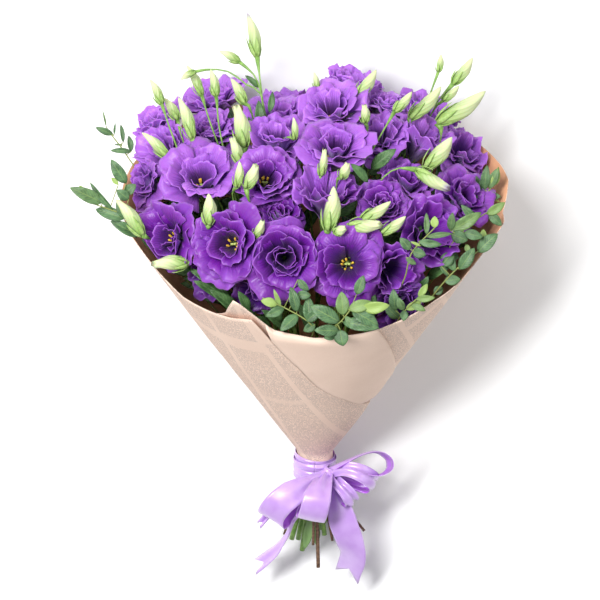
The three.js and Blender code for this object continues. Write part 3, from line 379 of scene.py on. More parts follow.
# ---- Blooms: where each opening is, which way it faces, its radius, form and stem ----
BLOOMS = [
    ([-99, 238, 137], [-0.05, 0.6, 0.8], 35, "cup", 1),
    ([-127, 186, 160], [-0.5, 0.1, 0.85], 31, "cup", 2),
    ([-75, 180, 184], [-0.4, 0, 0.9], 34, "cup", 3),
    ([-26, 168, 195], [0.05, 0, 1], 33, "rose", 4),
    ([28, 162, 197], [-0.05, -0.1, 1], 32, "open", 5),
    ([-31, 204, 172], [0.1, 0.7, 0.7], 23, "rose", 4),
    ([-43, 237, 164], [0.1, 0.4, 0.9], 29, "cup", 7),
    ([10, 221, 180], [0.05, 0.8, 0.6], 30, "bell", 6),
    ([17, 262, 147], [0.05, 0.75, 0.65], 33, "cup", 8),
    ([16, 297, 95], [-0.05, 0.75, 0.65], 33, "cup", 9),
    ([31, 319, 53], [0.2, 0.9, 0.4], 26, "cup", 9),
    ([60, 302, 68], [0.3, 0.85, 0.4], 22, "rose", 10),
    ([55, 272, 109], [-0.1, 0.7, 0.7], 28, "frill", 8),
    ([93, 271, 93], [0.4, 0.8, 0.4], 26, "bell", 10),
    ([129, 258, 62], [0.5, 0.6, 0.6], 29, "frill", 11),
    ([129, 219, 122], [0.55, 0.45, 0.7], 29, "cup", 11),
    ([98, 190, 166], [0.4, 0.1, 0.9], 29, "bell", 12),
    ([60, 212, 170], [0.1, 0.5, 0.85], 25, "rose", 6),
    ([80, 232, 133], [0.3, 0.7, 0.6], 27, "cup", 8),
    ([67, 157, 178], [0.4, -0.2, 0.9], 26, "bell", 5),
    ([-93, 279, 72], [-0.2, 0.75, 0.65], 26, "rose", 13),
    ([-137, 288, 60], [-0.5, 0.75, 0.4], 26, "cup", 14),
    ([-130, 260, 92], [-0.5, 0.5, 0.7], 26, "bell", 14),
    ([-33, 270, 128], [0, 0.75, 0.65], 29, "cup", 7),
    ([-88, 306, 38], [-0.2, 0.85, 0.45], 29, "cup", 13),
    ([-88, 156, 145], [-0.3, -0.2, 0.9], 22, "bell", 2),
    ([-47, 141, 165], [-0.1, -0.4, 0.9], 22, "cup", 3),
    ([-149, 232, 103], [-0.7, 0.35, 0.6], 25, "cup", 14),
    ([73, 128, 168], [0.3, -0.4, 0.85], 24, "cup", 12),
    ([98, 295, 42], [0.45, 0.8, 0.35], 28, "cup", 10),
    ([-33, 292, 79], [-0.05, 0.85, 0.5], 28, "cup", 9),
    ([-72, 248, 92], [-0.3, 0.7, 0.6], 27, "cup", 1),
    ([-28, 302, 26], [0, 0.95, 0.2], 27, "cup", 13),
    ([62, 296, 20], [0.3, 0.9, 0.15], 25, "cup", 10),
]
HEIGHTS = {"cup": 1.1, "open": 0.8, "rose": 0.95, "bell": 1.45, "frill": 1.0}
# Rings from the outside in: petals, reach, rise, curl, flare, ruffle, lap, width over its share
RINGS = {
    "cup": [
        (5, 1.00, 0.86, 0.70, 0.25, 2.6, 2.6, 1.34), (5, 0.80, 0.95, 0.45, 0.15, 2.4, 2.2, 1.34),
        (4, 0.56, 1.00, 0.25, 0.05, 2.2, 1.8, 1.40), (3, 0.34, 0.94, 0.10, -0.2, 1.8, 1.3, 1.50),
    ],
    "open": [
        (5, 1.00, 0.80, 0.90, 0.10, 2.4, 2.6, 1.34), (5, 0.86, 0.95, 0.80, 0.10, 2.2, 2.2, 1.34),
        (5, 0.66, 1.04, 0.60, 0.10, 2.0, 1.8, 1.25),
    ],
    "rose": [
        (5, 1.00, 0.85, 0.80, 0.00, 2.2, 2.6, 1.34), (5, 0.80, 0.94, 0.60, -0.1, 2.0, 2.2, 1.34),
        (5, 0.58, 1.00, 0.45, -0.4, 1.7, 1.9, 1.40), (4, 0.38, 1.00, 0.30, -0.7, 1.2, 1.6, 1.50),
        (3, 0.20, 0.96, 0.20, -0.8, 0.8, 1.2, 1.60),
    ],
    "bell": [
        (5, 1.00, 0.95, 0.35, 0.35, 2.8, 2.4, 1.30), (5, 0.80, 1.00, 0.20, 0.20, 2.4, 2.0, 1.30),
        (4, 0.52, 1.00, 0.10, 0.00, 2.0, 1.5, 1.40),
    ],
    "frill": [
        (5, 1.00, 0.80, 0.80, 0.10, 3.4, 2.6, 1.34), (5, 0.84, 0.92, 0.70, 0.00, 3.2, 2.4, 1.34),
        (5, 0.64, 1.00, 0.55, -0.2, 3.0, 2.0, 1.36), (4, 0.40, 1.02, 0.30, -0.4, 2.4, 1.6, 1.45),
    ],
}
SEEN_HEIGHT = 0.62
IN_SHADE, SHADE_TONE = (25, 26, 28), -0.55
# Pressing: how near a neighbour counts, and what is spared to it, to the paper and to the floor
NEAR, SPARE, WALL_SPARE = 14, 3.5, 2.5
PRESS_SOFTNESS = 7.0
# Petals of outer and of inner rings: how far they stand aside, reach unevenly, fold and bend
OUTER_REACH, STIFF_REACH = 0.6, 0.5
ASIDE, UNEVEN, FOLD, BEND = (0.34, 0.70), (0.13, 0.30), (0.20, 0.25), (0.27, 0.12)
# How far each ring is turned from the next, and a petal's width and height from its foot to its rim
RING_TURN, WIDTH_ALONG, CORNERS, RIM_EDGE = 0.62, (0.72, 0.38, -0.10), (0.22, 2.4), 2.2
# Scallops of a petal's rim: depth, number and seed
SCALLOPS = ((0.042, 7, 13), (0.024, 16, 14))
# Waves of a petal's rim: least number, more at most, the seeds of both, share and slant
RIM_WAVES = ((3.0, 1.6, 6, 7, 1.0, 0), (7, 2, 8, 9, 0.62, 0), (14, 4, 10, 15, 0.34, 2))
# Paler petals: towards the back from one height over a span, at the far left, and by chance
PALE_FROM, PALE_SPAN, PALE_BACK, PALE_LEFT, PALE_CHANCE, PETAL_CHANCE = 195, 110, 0.74, 0.25, 0.14, 0.34
# Points up and across a petal of the outer rings and of the inner ones
FINE, COARSE, FINE_REACH = (14, 21), (13, 17), 0.7
STAMEN_DEPTH, STAMENS = 90, 6


def bloom_frames(fullness):
    """Each bloom's directions, size and foot."""
    blooms = []
    for number, (at, face, radius, form, stem) in enumerate(BLOOMS):
        at, up = np.array(at, dtype=float), unit(face)
        side = unit(RIGHT - up * (RIGHT @ up))
        height = HEIGHTS[form] * radius
        blooms.append({
            "name": f"bloom_{number + 1:02d}", "number": number, "at": at, "up": up, "side": side,
            "other": np.cross(up, side), "radius": fullness * radius, "height": height, "form": form,
            "stem": stem, "foot": at - SEEN_HEIGHT * height * up,
        })
    return blooms


def press_planes(bloom, blooms):
    """Flats between a bloom and its neighbours, the paper and the floor: normals and limits."""
    planes = []
    for near in blooms:
        gap = near["at"] - bloom["at"]
        distance, radii = np.linalg.norm(gap), near["radius"] + bloom["radius"]
        if near is not bloom and distance < radii + NEAR:
            planes.append((gap / distance, distance * bloom["radius"] / radii + SPARE))
    along = bloom["at"] @ AXIS
    outward = bloom["at"] - along * AXIS
    slope = math.cos(CONE_HALF_ANGLE)
    wall = unit(outward) * slope - AXIS * math.sin(CONE_HALF_ANGLE)
    planes.append((wall, (cone_radius(along) - np.linalg.norm(outward)) * slope - WALL_SPARE))
    planes.append((-SKY, TIE[2] + bloom["at"] @ SKY - WALL_SPARE))
    return planes


def pressed(points, bloom, planes):
    """Petals give way smoothly before each flat."""
    for normal, limit in planes:
        beyond = np.maximum((points - bloom["at"]) @ normal - limit + PRESS_SOFTNESS, 0)
        moved = beyond - PRESS_SOFTNESS * (1 - np.exp(-beyond / PRESS_SOFTNESS))
        points = points - moved[..., None] * normal
    return points


def petal_grid(bloom, planes, ring, order, petal, rows, columns):
    """Points of one petal, from its foot to its ruffled rim."""
    count, reach, rise, curl, flare, ruffle, lap, width = ring
    inner = reach <= OUTER_REACH
    seed = bloom["number"] * 7.3 + order * 31 + petal
    v, u = shares(rows, columns, -1)
    start = 2 * math.pi * chance(bloom["number"] + 1, 5) + RING_TURN * order
    middle = 2 * math.pi * petal / count + start + ASIDE[inner] * astray(seed, 4)
    narrow, widening, closing = WIDTH_ALONG
    spread = width * (narrow + widening * v + closing * v**3)
    turn = middle + u * (math.pi / count) * spread
    scallop = sum(depth * np.sin(number * u + phase(seed, n)) for depth, number, n in SCALLOPS)
    t = v * (1 - CORNERS[0] * np.abs(u) ** CORNERS[1] * v + scallop * v**2)
    foot = 3.2 if reach == 1 else 1.2 + 2.2 * reach
    reached = bloom["radius"] * reach * (0.97 + UNEVEN[inner] * 2 * astray(seed, 2))
    height = bloom["height"] * rise * (0.97 + 0.30 * astray(seed, 3))
    steep = np.arctan2(height * (1 + curl - 2 * curl * t), (reached - foot) * (1 - flare + 2 * flare * t))
    edge = v**RIM_EDGE
    waves = sum(share * np.sin((least + more * chance(seed, k)) * u + phase(seed, n) + slant * v)
                for least, more, k, n, share, slant in RIM_WAVES)
    creases = 0.20 * v * np.sin((24 + 4 * chance(seed, 16)) * u + 1.5 * v)
    fold = FOLD[inner] * bloom["radius"] * (chance(seed, 17) - 0.4) * v**1.3
    creases = creases - fold * (np.abs(u - 0.3 * astray(seed, 18)) - 0.5)
    lift = lap * u * (0.25 + 0.75 * v) + 0.92 * ruffle * edge * waves + 1.2 * u**2 * v + creases
    bend = np.clip((v - 0.58) / 0.42, 0, 1) ** 2 * (chance(seed, 12) - 0.3) * BEND[reach <= STIFF_REACH] * reached
    out = foot + (reached - foot) * ((1 - flare) * t + flare * t**2) + lift * np.sin(steep) + bend
    up = (2.4 - 0.4 * foot + height * ((1 + curl) * t - curl * t**2) - lift * np.cos(steep)
          + 0.5 * ruffle * edge * np.sin(count * 1.5 * turn + start) - 0.9 * bend)
    aim = around(bloom["side"], bloom["other"], turn)
    return pressed(bloom["foot"] + aim * out[..., None] + bloom["up"] * up[..., None], bloom, planes)


def bloom_form(bloom, blooms, thickness):
    """All petals of one bloom, and its stamens where the throat shows."""
    form, planes, number = Form(), press_planes(bloom, blooms), bloom["number"]
    x, y, depth = bloom["at"]
    pale = PALE_BACK * float(np.clip((y - PALE_FROM) / PALE_SPAN, 0, 1)) + PALE_LEFT * float(x < -85 and y > 225)
    pale += PALE_CHANCE * astray(number, 2)
    if number in IN_SHADE:
        pale = SHADE_TONE
    for order, ring in enumerate(RINGS[bloom["form"]]):
        rows, columns = FINE if ring[1] > FINE_REACH else COARSE
        # Inner rings, and every ring of an open bloom, reach further into the foot colour: on the faces painted shade
        # deeper in the bloom, on top of the throat's own deep colour
        deepening = 2.6 if bloom["form"] == "open" else 1.0 + 0.7 * order
        for petal in range(ring[0]):
            grid = petal_grid(bloom, planes, ring, order, petal, rows, columns)
            tone = pale + PETAL_CHANCE * astray(number + petal, order)
            form.blade(grid, 3, thickness * 1000, tone, places_on(rows, columns, deepening), back=0)
    if bloom["form"] in ("open", "cup") and depth > STAMEN_DEPTH:
        stamens(form, bloom)
    return form


def stamens(form, bloom):
    """A ring of filaments with yellow anthers round a green pistil with two lobes."""
    foot, up, side, other = bloom["foot"], bloom["up"], bloom["side"], bloom["other"]
    tall = 0.42 * bloom["height"]
    for k in range(STAMENS):
        out = around(side, other, 2 * math.pi * k / STAMENS + chance(bloom["number"], k))
        tip = foot + out * (4.0 + 1.2 * chance(bloom["number"], k + 7)) + up * tall * (0.85 + 0.2 * chance(k, 3))
        form.tube(smooth_path([foot + out * 1.2 + up * 2, foot + out * 3 + up * tall * 0.5, tip], 5), 0.35, 2, 5)
        along = unit(out * 0.5 + up + other * 0.4)
        form.tube([tip + along * share for share in (-2.2, -1.4, 1.4, 2.2)], [0.3, 1.0, 1.0, 0.3], 1, 6)
    lobe = foot + up * tall * 0.8
    form.tube([foot + up * 2, foot + up * tall * 0.5, lobe], [2.0, 1.7, 0.8], 2, 8)
    for sign in (-1, 1):
        form.tube([lobe, lobe + up * 1.5 + side * sign * 1.2, lobe + up * 2.2 + side * sign * 2.6],
                  [0.8, 1.3, 0.6], 2, 6)


# ---- Buds: stem, foot, tip, belly radius and the points that the stalk passes ----
BUDS = [
    (7, [-51, 346, 95], [-60, 384, 92], 5, [[-42, 276, 104]]),
    (7, [-67, 341, 97], [-84, 350, 100], 3.6, [[-44, 290, 103], [-52, 326, 98]]),
    (13, [-100, 312, 84], [-113, 338, 82], 4, [[-86, 270, 98]]),
    (7, [-106, 332, 99], [-118, 325, 102], 3, [[-44, 296, 102], [-58, 318, 99], [-76, 332, 98], [-93, 334, 98]]),
    (1, [-87, 311, 106], [-92, 334, 104], 3.8, [[-80, 262, 118]]),
    (14, [-135, 304, 104], [-145, 325, 104], 3.8, [[-120, 262, 118]]),
    (14, [-121, 290, 92], [-133, 309, 90], 4.4, [[-113, 262, 98]]),
    (1, [-108, 273, 118], [-120, 309, 118], 5.4, [[-97, 250, 110]]),
    (1, [-129, 256, 128], [-152, 278, 128], 4.4, [[-112, 240, 118]]),
    (7, [-62, 304, 106], [-74, 326, 104], 4.4, [[-52, 280, 108]]),
    (7, [-62, 265, 138], [-69, 300, 136], 7, [[-58, 240, 130]]),
    (7, [-66, 251, 152], [-73, 272, 154], 4.6, [[-62, 235, 138]]),
    (1, [-68, 230, 186], [-66, 252, 192], 4, [[-70, 212, 160]]),
    (9, [2, 316, 84], [-1, 332, 84], 2.6, [[-8, 280, 88]]),
    (9, [36, 309, 92], [54, 334, 90], 5.4, [[38, 280, 96]]),
    (10, [109, 333, 78], [111, 348, 77], 3, [[92, 286, 66]]),
    (10, [122, 322, 82], [139, 345, 82], 4.8, [[88, 276, 66], [103, 300, 74]]),
    (10, [113, 307, 84], [127, 320, 84], 3.4, [[96, 280, 72]]),
    (10, [84, 291, 98], [111, 319, 98], 6, [[78, 270, 92]]),
    (11, [108, 287, 96], [150, 315, 100], 7.4, [[108, 262, 90]]),
    (8, [70, 297, 126], [85, 314, 126], 4, [[40, 240, 140], [50, 262, 138]]),
    (8, [97, 247, 134], [120, 274, 138], 7, [[86, 228, 112]]),
    (6, [5, 240, 174], [8, 262, 178], 3.6, [[3, 216, 156]]),
    (8, [89, 245, 160], [116, 229, 162], 6, [[46, 214, 144], [56, 234, 158], [71, 246, 162]]),
    (6, [11, 192, 207], [16, 230, 210], 7, [[6, 180, 176]]),
    (5, [40, 200, 196], [66, 217, 198], 5, [[22, 176, 168]]),
    (5, [30, 196, 204], [56, 197, 210], 6, [[16, 176, 176]]),
    (12, [58, 189, 198], [79, 204, 200], 4.6, [[54, 166, 164]]),
    (14, [-151, 188, 168], [-174, 219, 172], 6, [[-128, 172, 130]]),
    (2, [-112, 163, 178], [-140, 162, 184], 6.4, [[-100, 166, 150]]),
    (3, [-93, 197, 186], [-93, 224, 188], 6, [[-90, 178, 160]]),
    (4, [-52, 186, 196], [-46, 200, 204], 4, [[-52, 168, 168]]),
    (7, [-18, 272, 150], [-19, 291, 154], 3, [[-28, 256, 126]]),
    (8, [44, 287, 126], [43, 302, 130], 4, [[44, 264, 112]]),
    (6, [23, 238, 186], [28, 250, 192], 4.5, [[18, 222, 168]]),
    (4, [-60, 229, 190], [-52, 248, 196], 5.6, [[-54, 205, 176]]),
    (5, [17, 190, 214], [26, 194, 218], 4.4, [[20, 178, 192]]),
]
PURPLE_TIPS = (0, 23)
BLUNT_TIPS = (10, 11, 22, 23, 26, 29, 31, 33, 34, 35, 36)
# Leaves at the rim, between blooms and below the tie: stem, foot, tip, width and freshness
LOW_LEAVES = [
    (2, [-66, 118, 158], [-90, 140, 180], 11, 0.2), (2, [-78, 130, 152], [-104, 148, 172], 10, 0.4),
    (3, [-50, 112, 166], [-74, 124, 188], 11, 0.1), (3, [-38, 108, 170], [-58, 114, 194], 10, 0.0),
    (2, [-72, 130, 158], [-110, 160, 168], 9, 0.0), (3, [-58, 120, 172], [-66, 138, 186], 9, 0.1),
    (3, [-30, 112, 182], [-40, 134, 192], 9, 0.1),
    (4, [-26, 104, 170], [-44, 122, 196], 10, 0.2), (4, [-4, 104, 180], [-14, 128, 200], 10, 0.1),
    (14, [-132, 168, 130], [-150, 184, 150], 9, 0.3), (14, [-138, 182, 124], [-148, 206, 136], 10, 0.1),
    (4, [-4, -62, -22], [-9, -92, -30], 8, 1.0), (5, [-1, -64, -24], [2, -88, -30], 7, 0.9),
    (12, [86, 130, 150], [98, 150, 174], 10, 0.1), (12, [98, 150, 146], [118, 162, 166], 9, 0.3),
    (11, [128, 200, 110], [142, 222, 122], 10, 0.2), (5, [44, 112, 176], [52, 134, 196], 10, 0.1),
    (8, [46, 234, 180], [32, 250, 188], 8, 0.2), (8, [49, 246, 146], [70, 263, 156], 11, 0.1),
    (7, [-49, 280, 116], [-49, 306, 120], 9, 0.2), (7, [-50, 318, 98], [-61, 329, 100], 5, 0.4),
    (7, [-40, 296, 112], [-37, 314, 112], 6, 0.3), (7, [-52, 268, 122], [-58, 292, 124], 7, 0.1),
]
STEM_COUNT = 14
# Stems: how far under the tie they are cut, how much that varies, the cut ends' splay and height over the floor
STEM_END, CUT_VARIES, STEM_SPLAY, STEM_LOW = 84, 24, 3, 2.9
# A stem's distance from the axis in the tie, for one whose blooms lie this far out per height, and its fork
STEM_RING, FULL_SLOPE, FORK_SHARE = 8.4, 0.56, 0.58
# Leaves on a branch near the rim and inside: the points where they stand and their least length
RIM_LEAVES, INNER_LEAVES, AT_RIM = ((6, 9, 12), 34), ((5, 9), 26), 0.62
LEAF_VARIES, LEAF_WIDTH = 12, 12.5
# The paper's rim: turn in degrees from the front, and height over the tie
RIM = [
    (50, 186), (34, 205), (27, 232), (16, 196), (0, 188), (-24, 191), (-50, 206), (-66, 210), (-76, 252),
    (-88, 243), (-100, 256), (-140, 256), (-180, 262), (-250, 252), (-270, 248), (-285, 240), (-294, 220),
    (-306, 205), (-320, 205), (-329, 206), (-338, 211),
]
# A bud's radius along it, over its belly: levels, and the shares of a pointed and of a blunt one
BUD_LEVELS = [0, 0.06, 0.16, 0.34, 0.55, 0.74, 0.88, 0.96, 1]
POINTED = [0.3, 0.52, 0.82, 1, 0.93, 0.68, 0.42, 0.24, 0.05]
BLUNT = [0.3, 0.52, 0.82, 1, 0.95, 0.76, 0.60, 0.58, 0.50]
SEPALS, BUD_ROWS, BUD_SIDES = 5, 15, 20
# Points along a stem, a branch, a bud's stalk, a twig and its leafy end
STEM_POINTS, BRANCH_POINTS, STALK_POINTS, TWIG_POINTS, LEAFY_POINTS = 26, 16, 30, 60, 61
# Where the stems pass under and over the tie, and what they spare to the paper and past its rim
UNDER_TIE, OVER_TIE, PAPER_SPARE, RIM_SPARE = 30, 6, 4, 6


def rim_at(turn):
    """Height of the paper's rim at a turn."""
    turns, alongs = np.array(RIM[::-1]).T
    return np.interp(turn, turns, alongs)


def within_paper(point):
    """Below the rim, whatever grows stays inside the cone."""
    point = np.array(point, dtype=float)
    along = point @ AXIS
    outward = point - along * AXIS
    turn = math.degrees(math.atan2(-outward @ RIGHT, outward @ FRONT))
    over = np.linalg.norm(outward) - (cone_radius(along) - PAPER_SPARE)
    if along < rim_at(turn - 360 if turn > 26 else turn) + RIM_SPARE and over > 0:
        point = point - unit(outward) * over
    return raised_to(point, PAPER_SPARE)


def stem_route(number, blooms):
    """A stem's blooms, its cut end, its points under and over the tie, and its fork."""
    heads = [bloom for bloom in blooms if bloom["stem"] == number]
    aim = sum(bloom["foot"] for bloom in heads) / len(heads)
    along = aim @ AXIS
    offset = (aim - along * AXIS) * STEM_RING / (FULL_SLOPE * along)
    short = STEM_END + 4 + CUT_VARIES * (chance(number, 5) - 0.4)
    end = raised_to(offset * STEM_SPLAY - AXIS * short, STEM_LOW)
    low, high = offset - AXIS * UNDER_TIE, offset + AXIS * OVER_TIE
    return heads, end, low, high, high + (aim - high) * FORK_SHARE


def twisted_bud(form, foot, tip, belly, purple, blunt):
    """A bud of wound petals, slim at the foot, with a pointed or a blunt and ragged tip."""
    foot, tip = np.array(foot, dtype=float), np.array(tip, dtype=float)
    along, length = unit(tip - foot), np.linalg.norm(tip - foot)
    side = unit(np.cross(along, [0.2, 0.3, 0.93]))
    other = np.cross(along, side)
    h = np.linspace(0, 1, BUD_ROWS)[:, None]
    turn = np.linspace(0, 2 * math.pi, BUD_SIDES, endpoint=False)[None]
    ragged = blunt * 0.07 * length * h**8 * np.sin(5 * turn + belly) * (1 + 0.5 * np.sin(9 * turn))
    wound = 1 + 0.13 * h**0.6 * np.sin(4 * (turn - 2.0 * h))
    radius = belly * np.interp(h, BUD_LEVELS, BLUNT if blunt else POINTED) * wound
    centre = foot + along * (h * length) + side * (0.05 * length * np.sin(h * 3.1))
    places = np.stack(np.broadcast_arrays(turn / (2 * math.pi) - 0.32 * h, h), axis=-1)
    out = around(side, other, turn) * radius[..., None]
    form.rings(centre[:, None] + out + along * ragged[..., None], 1, purple, places)
    for k in range(SEPALS):
        turned = 2 * math.pi * k / SEPALS + belly
        sepal(form, foot, along, side, other, turned, belly, length * (0.42 + 0.1 * chance(belly, k)))


def sepal(form, foot, along, side, other, turn, belly, length):
    """A narrow pointed blade that hugs the bud."""
    out = around(side, other, turn)
    across = np.cross(along, out)
    v, u = shares(8, 5, -1)
    hug = np.interp(v, [0, 0.3, 0.7, 1], [0.45, 0.92, 1.12, 1.1]) * belly + 0.5
    half = (0.30 * belly + 0.5) * np.sin(np.pi * (0.12 + 0.88 * v)) ** 0.8 * (1 - 0.55 * v)
    points = (foot + along * (v * length - 0.5)[..., None] + out * (hug - 0.25 * half * u**2)[..., None]
              + across * (u * half)[..., None])
    form.blade(points[:, ::-1], 2, 0.45)


def stem_form(number, blooms, thick):
    """One flowering stem with its branches, calyces, buds and leaves."""
    form = Form()
    heads, end, low, high, fork = stem_route(number, blooms)
    girth = np.linspace(thick * 1.15, thick * 0.8, STEM_POINTS)
    form.tube(smooth_path([end, low, high, fork], STEM_POINTS), girth, 0, 10)
    buds = [(order, *bud[1:]) for order, bud in enumerate(BUDS) if bud[0] == number]
    starts = [high + (fork - high) * (0.985 - 0.07 * k) for k in range(len(heads) + len(buds))]
    for bloom, start in zip(heads, starts):
        foot, up = bloom["foot"], bloom["up"]
        neck = foot - up * 6
        bow = neck - up * 0.3 * np.linalg.norm(neck - start)
        bow = bow + (start - bow) * 0.4
        path = smooth_path([start, bow, neck, foot + up * 0.6], BRANCH_POINTS)
        form.tube(path, np.interp(np.linspace(0, 1, BRANCH_POINTS), [0, 0.8, 1], [1.15, 1.2, 2.6]), 0, 8)
        for k in range(SEPALS):
            sepal(form, foot - up, up, bloom["side"], bloom["other"], 2 * math.pi * k / SEPALS, 4.6, 13)
        level = bloom["at"] @ AXIS
        reach = np.linalg.norm(bloom["at"] - level * AXIS) / cone_radius(level)
        stem_leaves(form, path, number + bloom["number"], reach > AT_RIM)
    for (order, foot, tip, belly, via), start in zip(buds, starts[len(heads):]):
        path = smooth_path([start, *[within_paper(p) for p in via], foot], STALK_POINTS)
        girth = np.interp(np.linspace(0, 1, STALK_POINTS), [0, 0.5, 0.93, 1], [1.0, 0.85, 0.7, 0.5 * belly])
        form.tube(path, girth, 0, 8)
        twisted_bud(form, foot, tip, belly, float(order in PURPLE_TIPS), float(order in BLUNT_TIPS))
    for stem, base, tip, width, fresh in LOW_LEAVES:
        if stem == number:
            form.leaf(base, tip, [0.2, 0.3, 1], width, 3, fresh)
    return form


def stem_leaves(form, path, seed, at_rim):
    """Pairs of leaves on a branch; near the rim they are long and reach outwards."""
    places, least = RIM_LEAVES if at_rim else INNER_LEAVES
    for k, place in enumerate(places):
        along, near = directions(path)[place], path[place]
        outward = unit(near - (near @ AXIS) * AXIS)
        side = unit(np.cross(along, [astray(seed, k), astray(seed, k + 3), 0.9]))
        for sign in (-1, 1):
            length = least + LEAF_VARIES * chance(seed, k + 5 + sign)
            way = side * sign * 0.7 + along * 0.55 + (outward * 0.75 if at_rim else 0)
            tip = within_paper(near + unit(way) * length)
            facing = np.cross(side, along) + along * 0.4 + [0, 0, 0.3]
            form.leaf(near, tip, facing, LEAF_WIDTH, 3, 0.5 * chance(seed, k + 7))


# ---- Twigs: the points that each passes, and its leaves: foot x and y, tip x and y, width and freshness ----
TWIGS = [
    ("twig_front_left", [[-6, 92, 176], [-2, 108, 209], [-22, 122, 214], [-46, 133, 214]], [
        (-16, 121, -21, 142, 9, 0.2), (-5, 112, -6, 134, 10, 0), (-15, 118, -30, 105, 10, 0.3),
        (-27, 124, -43, 117, 8, 0.4), (-33, 127, -47, 131, 8, 0.9), (-30, 126, -36, 140, 4, 0.8),
        (0, 110, -10, 104, 8, 0), (-16, 136, -4, 135, 8, 0), (-15, 149, -6, 139, 7, 0.1), (-8, 113, 4, 122, 9, 0),
    ]),
    ("twig_front", [[12, 90, 178], [12, 104, 210], [22, 112, 221], [30, 122, 226]], [
        (21, 112, -4, 126, 13, 0.35), (24, 118, 23, 138, 11.5, 0.6), (29, 123, 50, 129, 10.5, 0.7),
        (41, 124, 64, 126, 10.5, 0.95), (32, 122, 55, 109, 12.5, 0.3), (26, 117, 36, 105, 6, 0.5),
        (22, 105, 24, 91, 12.5, 0.15), (21, 104, 0, 105, 10, 0.05), (24, 112, 55, 107, 11, 0.05),
        (18, 101, 8, 98, 7, 0), (36, 136, 42, 152, 9, 0.1),
    ]),
    ("twig_front_right", [[58, 92, 150], [74, 116, 188], [84, 128, 198], [96, 138, 198]], [
        (73, 115, 61, 126, 9, 0), (77, 122, 72, 133, 7, 0.5), (79, 123, 93, 130, 7, 0.9), (78, 122, 77, 113, 7, 0.4),
        (84, 127, 96, 122, 6, 0.6), (70, 122, 68, 140, 9, 0), (90, 134, 98, 145, 6, 0.9), (88, 132, 104, 133, 6, 0.7),
    ]),
    ("twig_right_low", [[92, 120, 140], [112, 146, 168], [130, 164, 172], [148, 178, 166]], [
        (126, 158, 139, 176, 11, 0.3), (142, 173, 159, 189, 12, 0.4), (147, 181, 147, 193, 7, 0.9),
        (134, 173, 132, 180, 5, 0.7), (116, 152, 108, 164, 4, 0.2), (110, 161, 121, 173, 11, 0),
        (113, 148, 127, 149, 9, 0), (104, 137, 112, 142, 8, 0), (100, 131, 88, 146, 9, 0), (122, 156, 112, 180, 9, 0),
    ]),
    ("twig_right_front", [[62, 118, 150], [78, 150, 190], [84, 172, 204], [106, 196, 208]], [
        (83, 175, 74, 185, 8, 0.3), (85, 174, 96, 170, 9, 0.2), (79, 168, 88, 162, 5, 0.5),
        (90, 182, 110, 179, 7, 0.3), (92, 178, 83, 182, 2.5, 0.9), (97, 188, 97, 207, 5, 0.5),
        (97, 186, 119, 189, 5, 0.5), (104, 194, 104, 204, 7, 1.0),
    ]),
    ("twig_right", [[104, 150, 134], [118, 178, 172], [136, 198, 176], [158, 212, 158]], [
        (119, 192, 145, 207, 11, 0.6), (118, 192, 120, 207, 7, 0.5), (119, 189, 133, 183, 11, 0),
        (152, 208, 163, 196, 8, 0.4), (140, 200, 128, 214, 7, 0.2), (150, 206, 166, 216, 8, 0.7),
        (130, 190, 146, 186, 9, 0.1), (112, 172, 126, 168, 9, 0),
    ]),
    ("twig_right_high", [[128, 196, 84], [149, 222, 108], [157, 234, 116], [161, 248, 118]], [
        (149, 228, 151, 249, 8, 0.4), (145, 224, 142, 240, 6, 0.3), (153, 229, 161, 247, 8, 0.5),
        (155, 231, 162, 244, 7, 0.9), (148, 223, 163, 222, 7.5, 0.4), (150, 224, 163, 217, 2.5, 0.9),
        (141, 220, 134, 232, 7, 0), (146, 218, 154, 208, 8, 0.1),
    ]),
    ("twig_left", [[-124, 160, 112], [-150, 196, 158], [-168, 206, 164], [-196, 216, 168]], [
        (-154, 187, -178, 200, 10, 0.3), (-167, 202, -192, 211, 11, 0.3), (-177, 210, -197, 233, 5.5, 0.2),
        (-186, 216, -213, 229, 11.5, 0.5), (-200, 224, -206, 231, 4, 1.0), (-166, 202, -174, 216, 6, 0.3),
        (-165, 233, -178, 253, 10.5, 0.35), (-167, 224, -157, 232, 9, 0.4), (-163, 219, -173, 227, 9, 0.3),
        (-172, 232, -178, 238, 4, 1.0),
    ]),
    ("twig_left_high", [[-128, 214, 70], [-156, 244, 80], [-168, 262, 84], [-182, 280, 84]], [
        (-162, 262, -164, 276, 5.5, 0.1), (-162, 262, -180, 263, 5, 0.2), (-169, 270, -171, 286, 4, 0.2),
        (-170, 268, -177, 268, 1.6, 0.3), (-178, 277, -193, 283, 6, 0.4), (-177, 277, -176, 287, 2, 0.2),
        (-184, 284, -187, 298, 1.6, 0.6),
    ]),
]
# Twigs that are cut, splayed or thicker than the others, by their number
CUT_AT, SPLAYED, THICK = {1: 108, 3: 69}, {3: 5.0}, {1: 1.8}
# The others: distance from the axis in the tie, splay and height of the cut ends, radius at foot and tip
TWIG_OFFSET, TWIG_SPLAY, TWIG_LOW, TWIG_FOOT, TWIG_TIP = 10.6, 2.6, 2.1, 1.25, 0.55
# A twig's bend under the paper: how far up to its first point, and how far out in the cone
BEND_UP, BEND_OUT = 0.55, 0.74


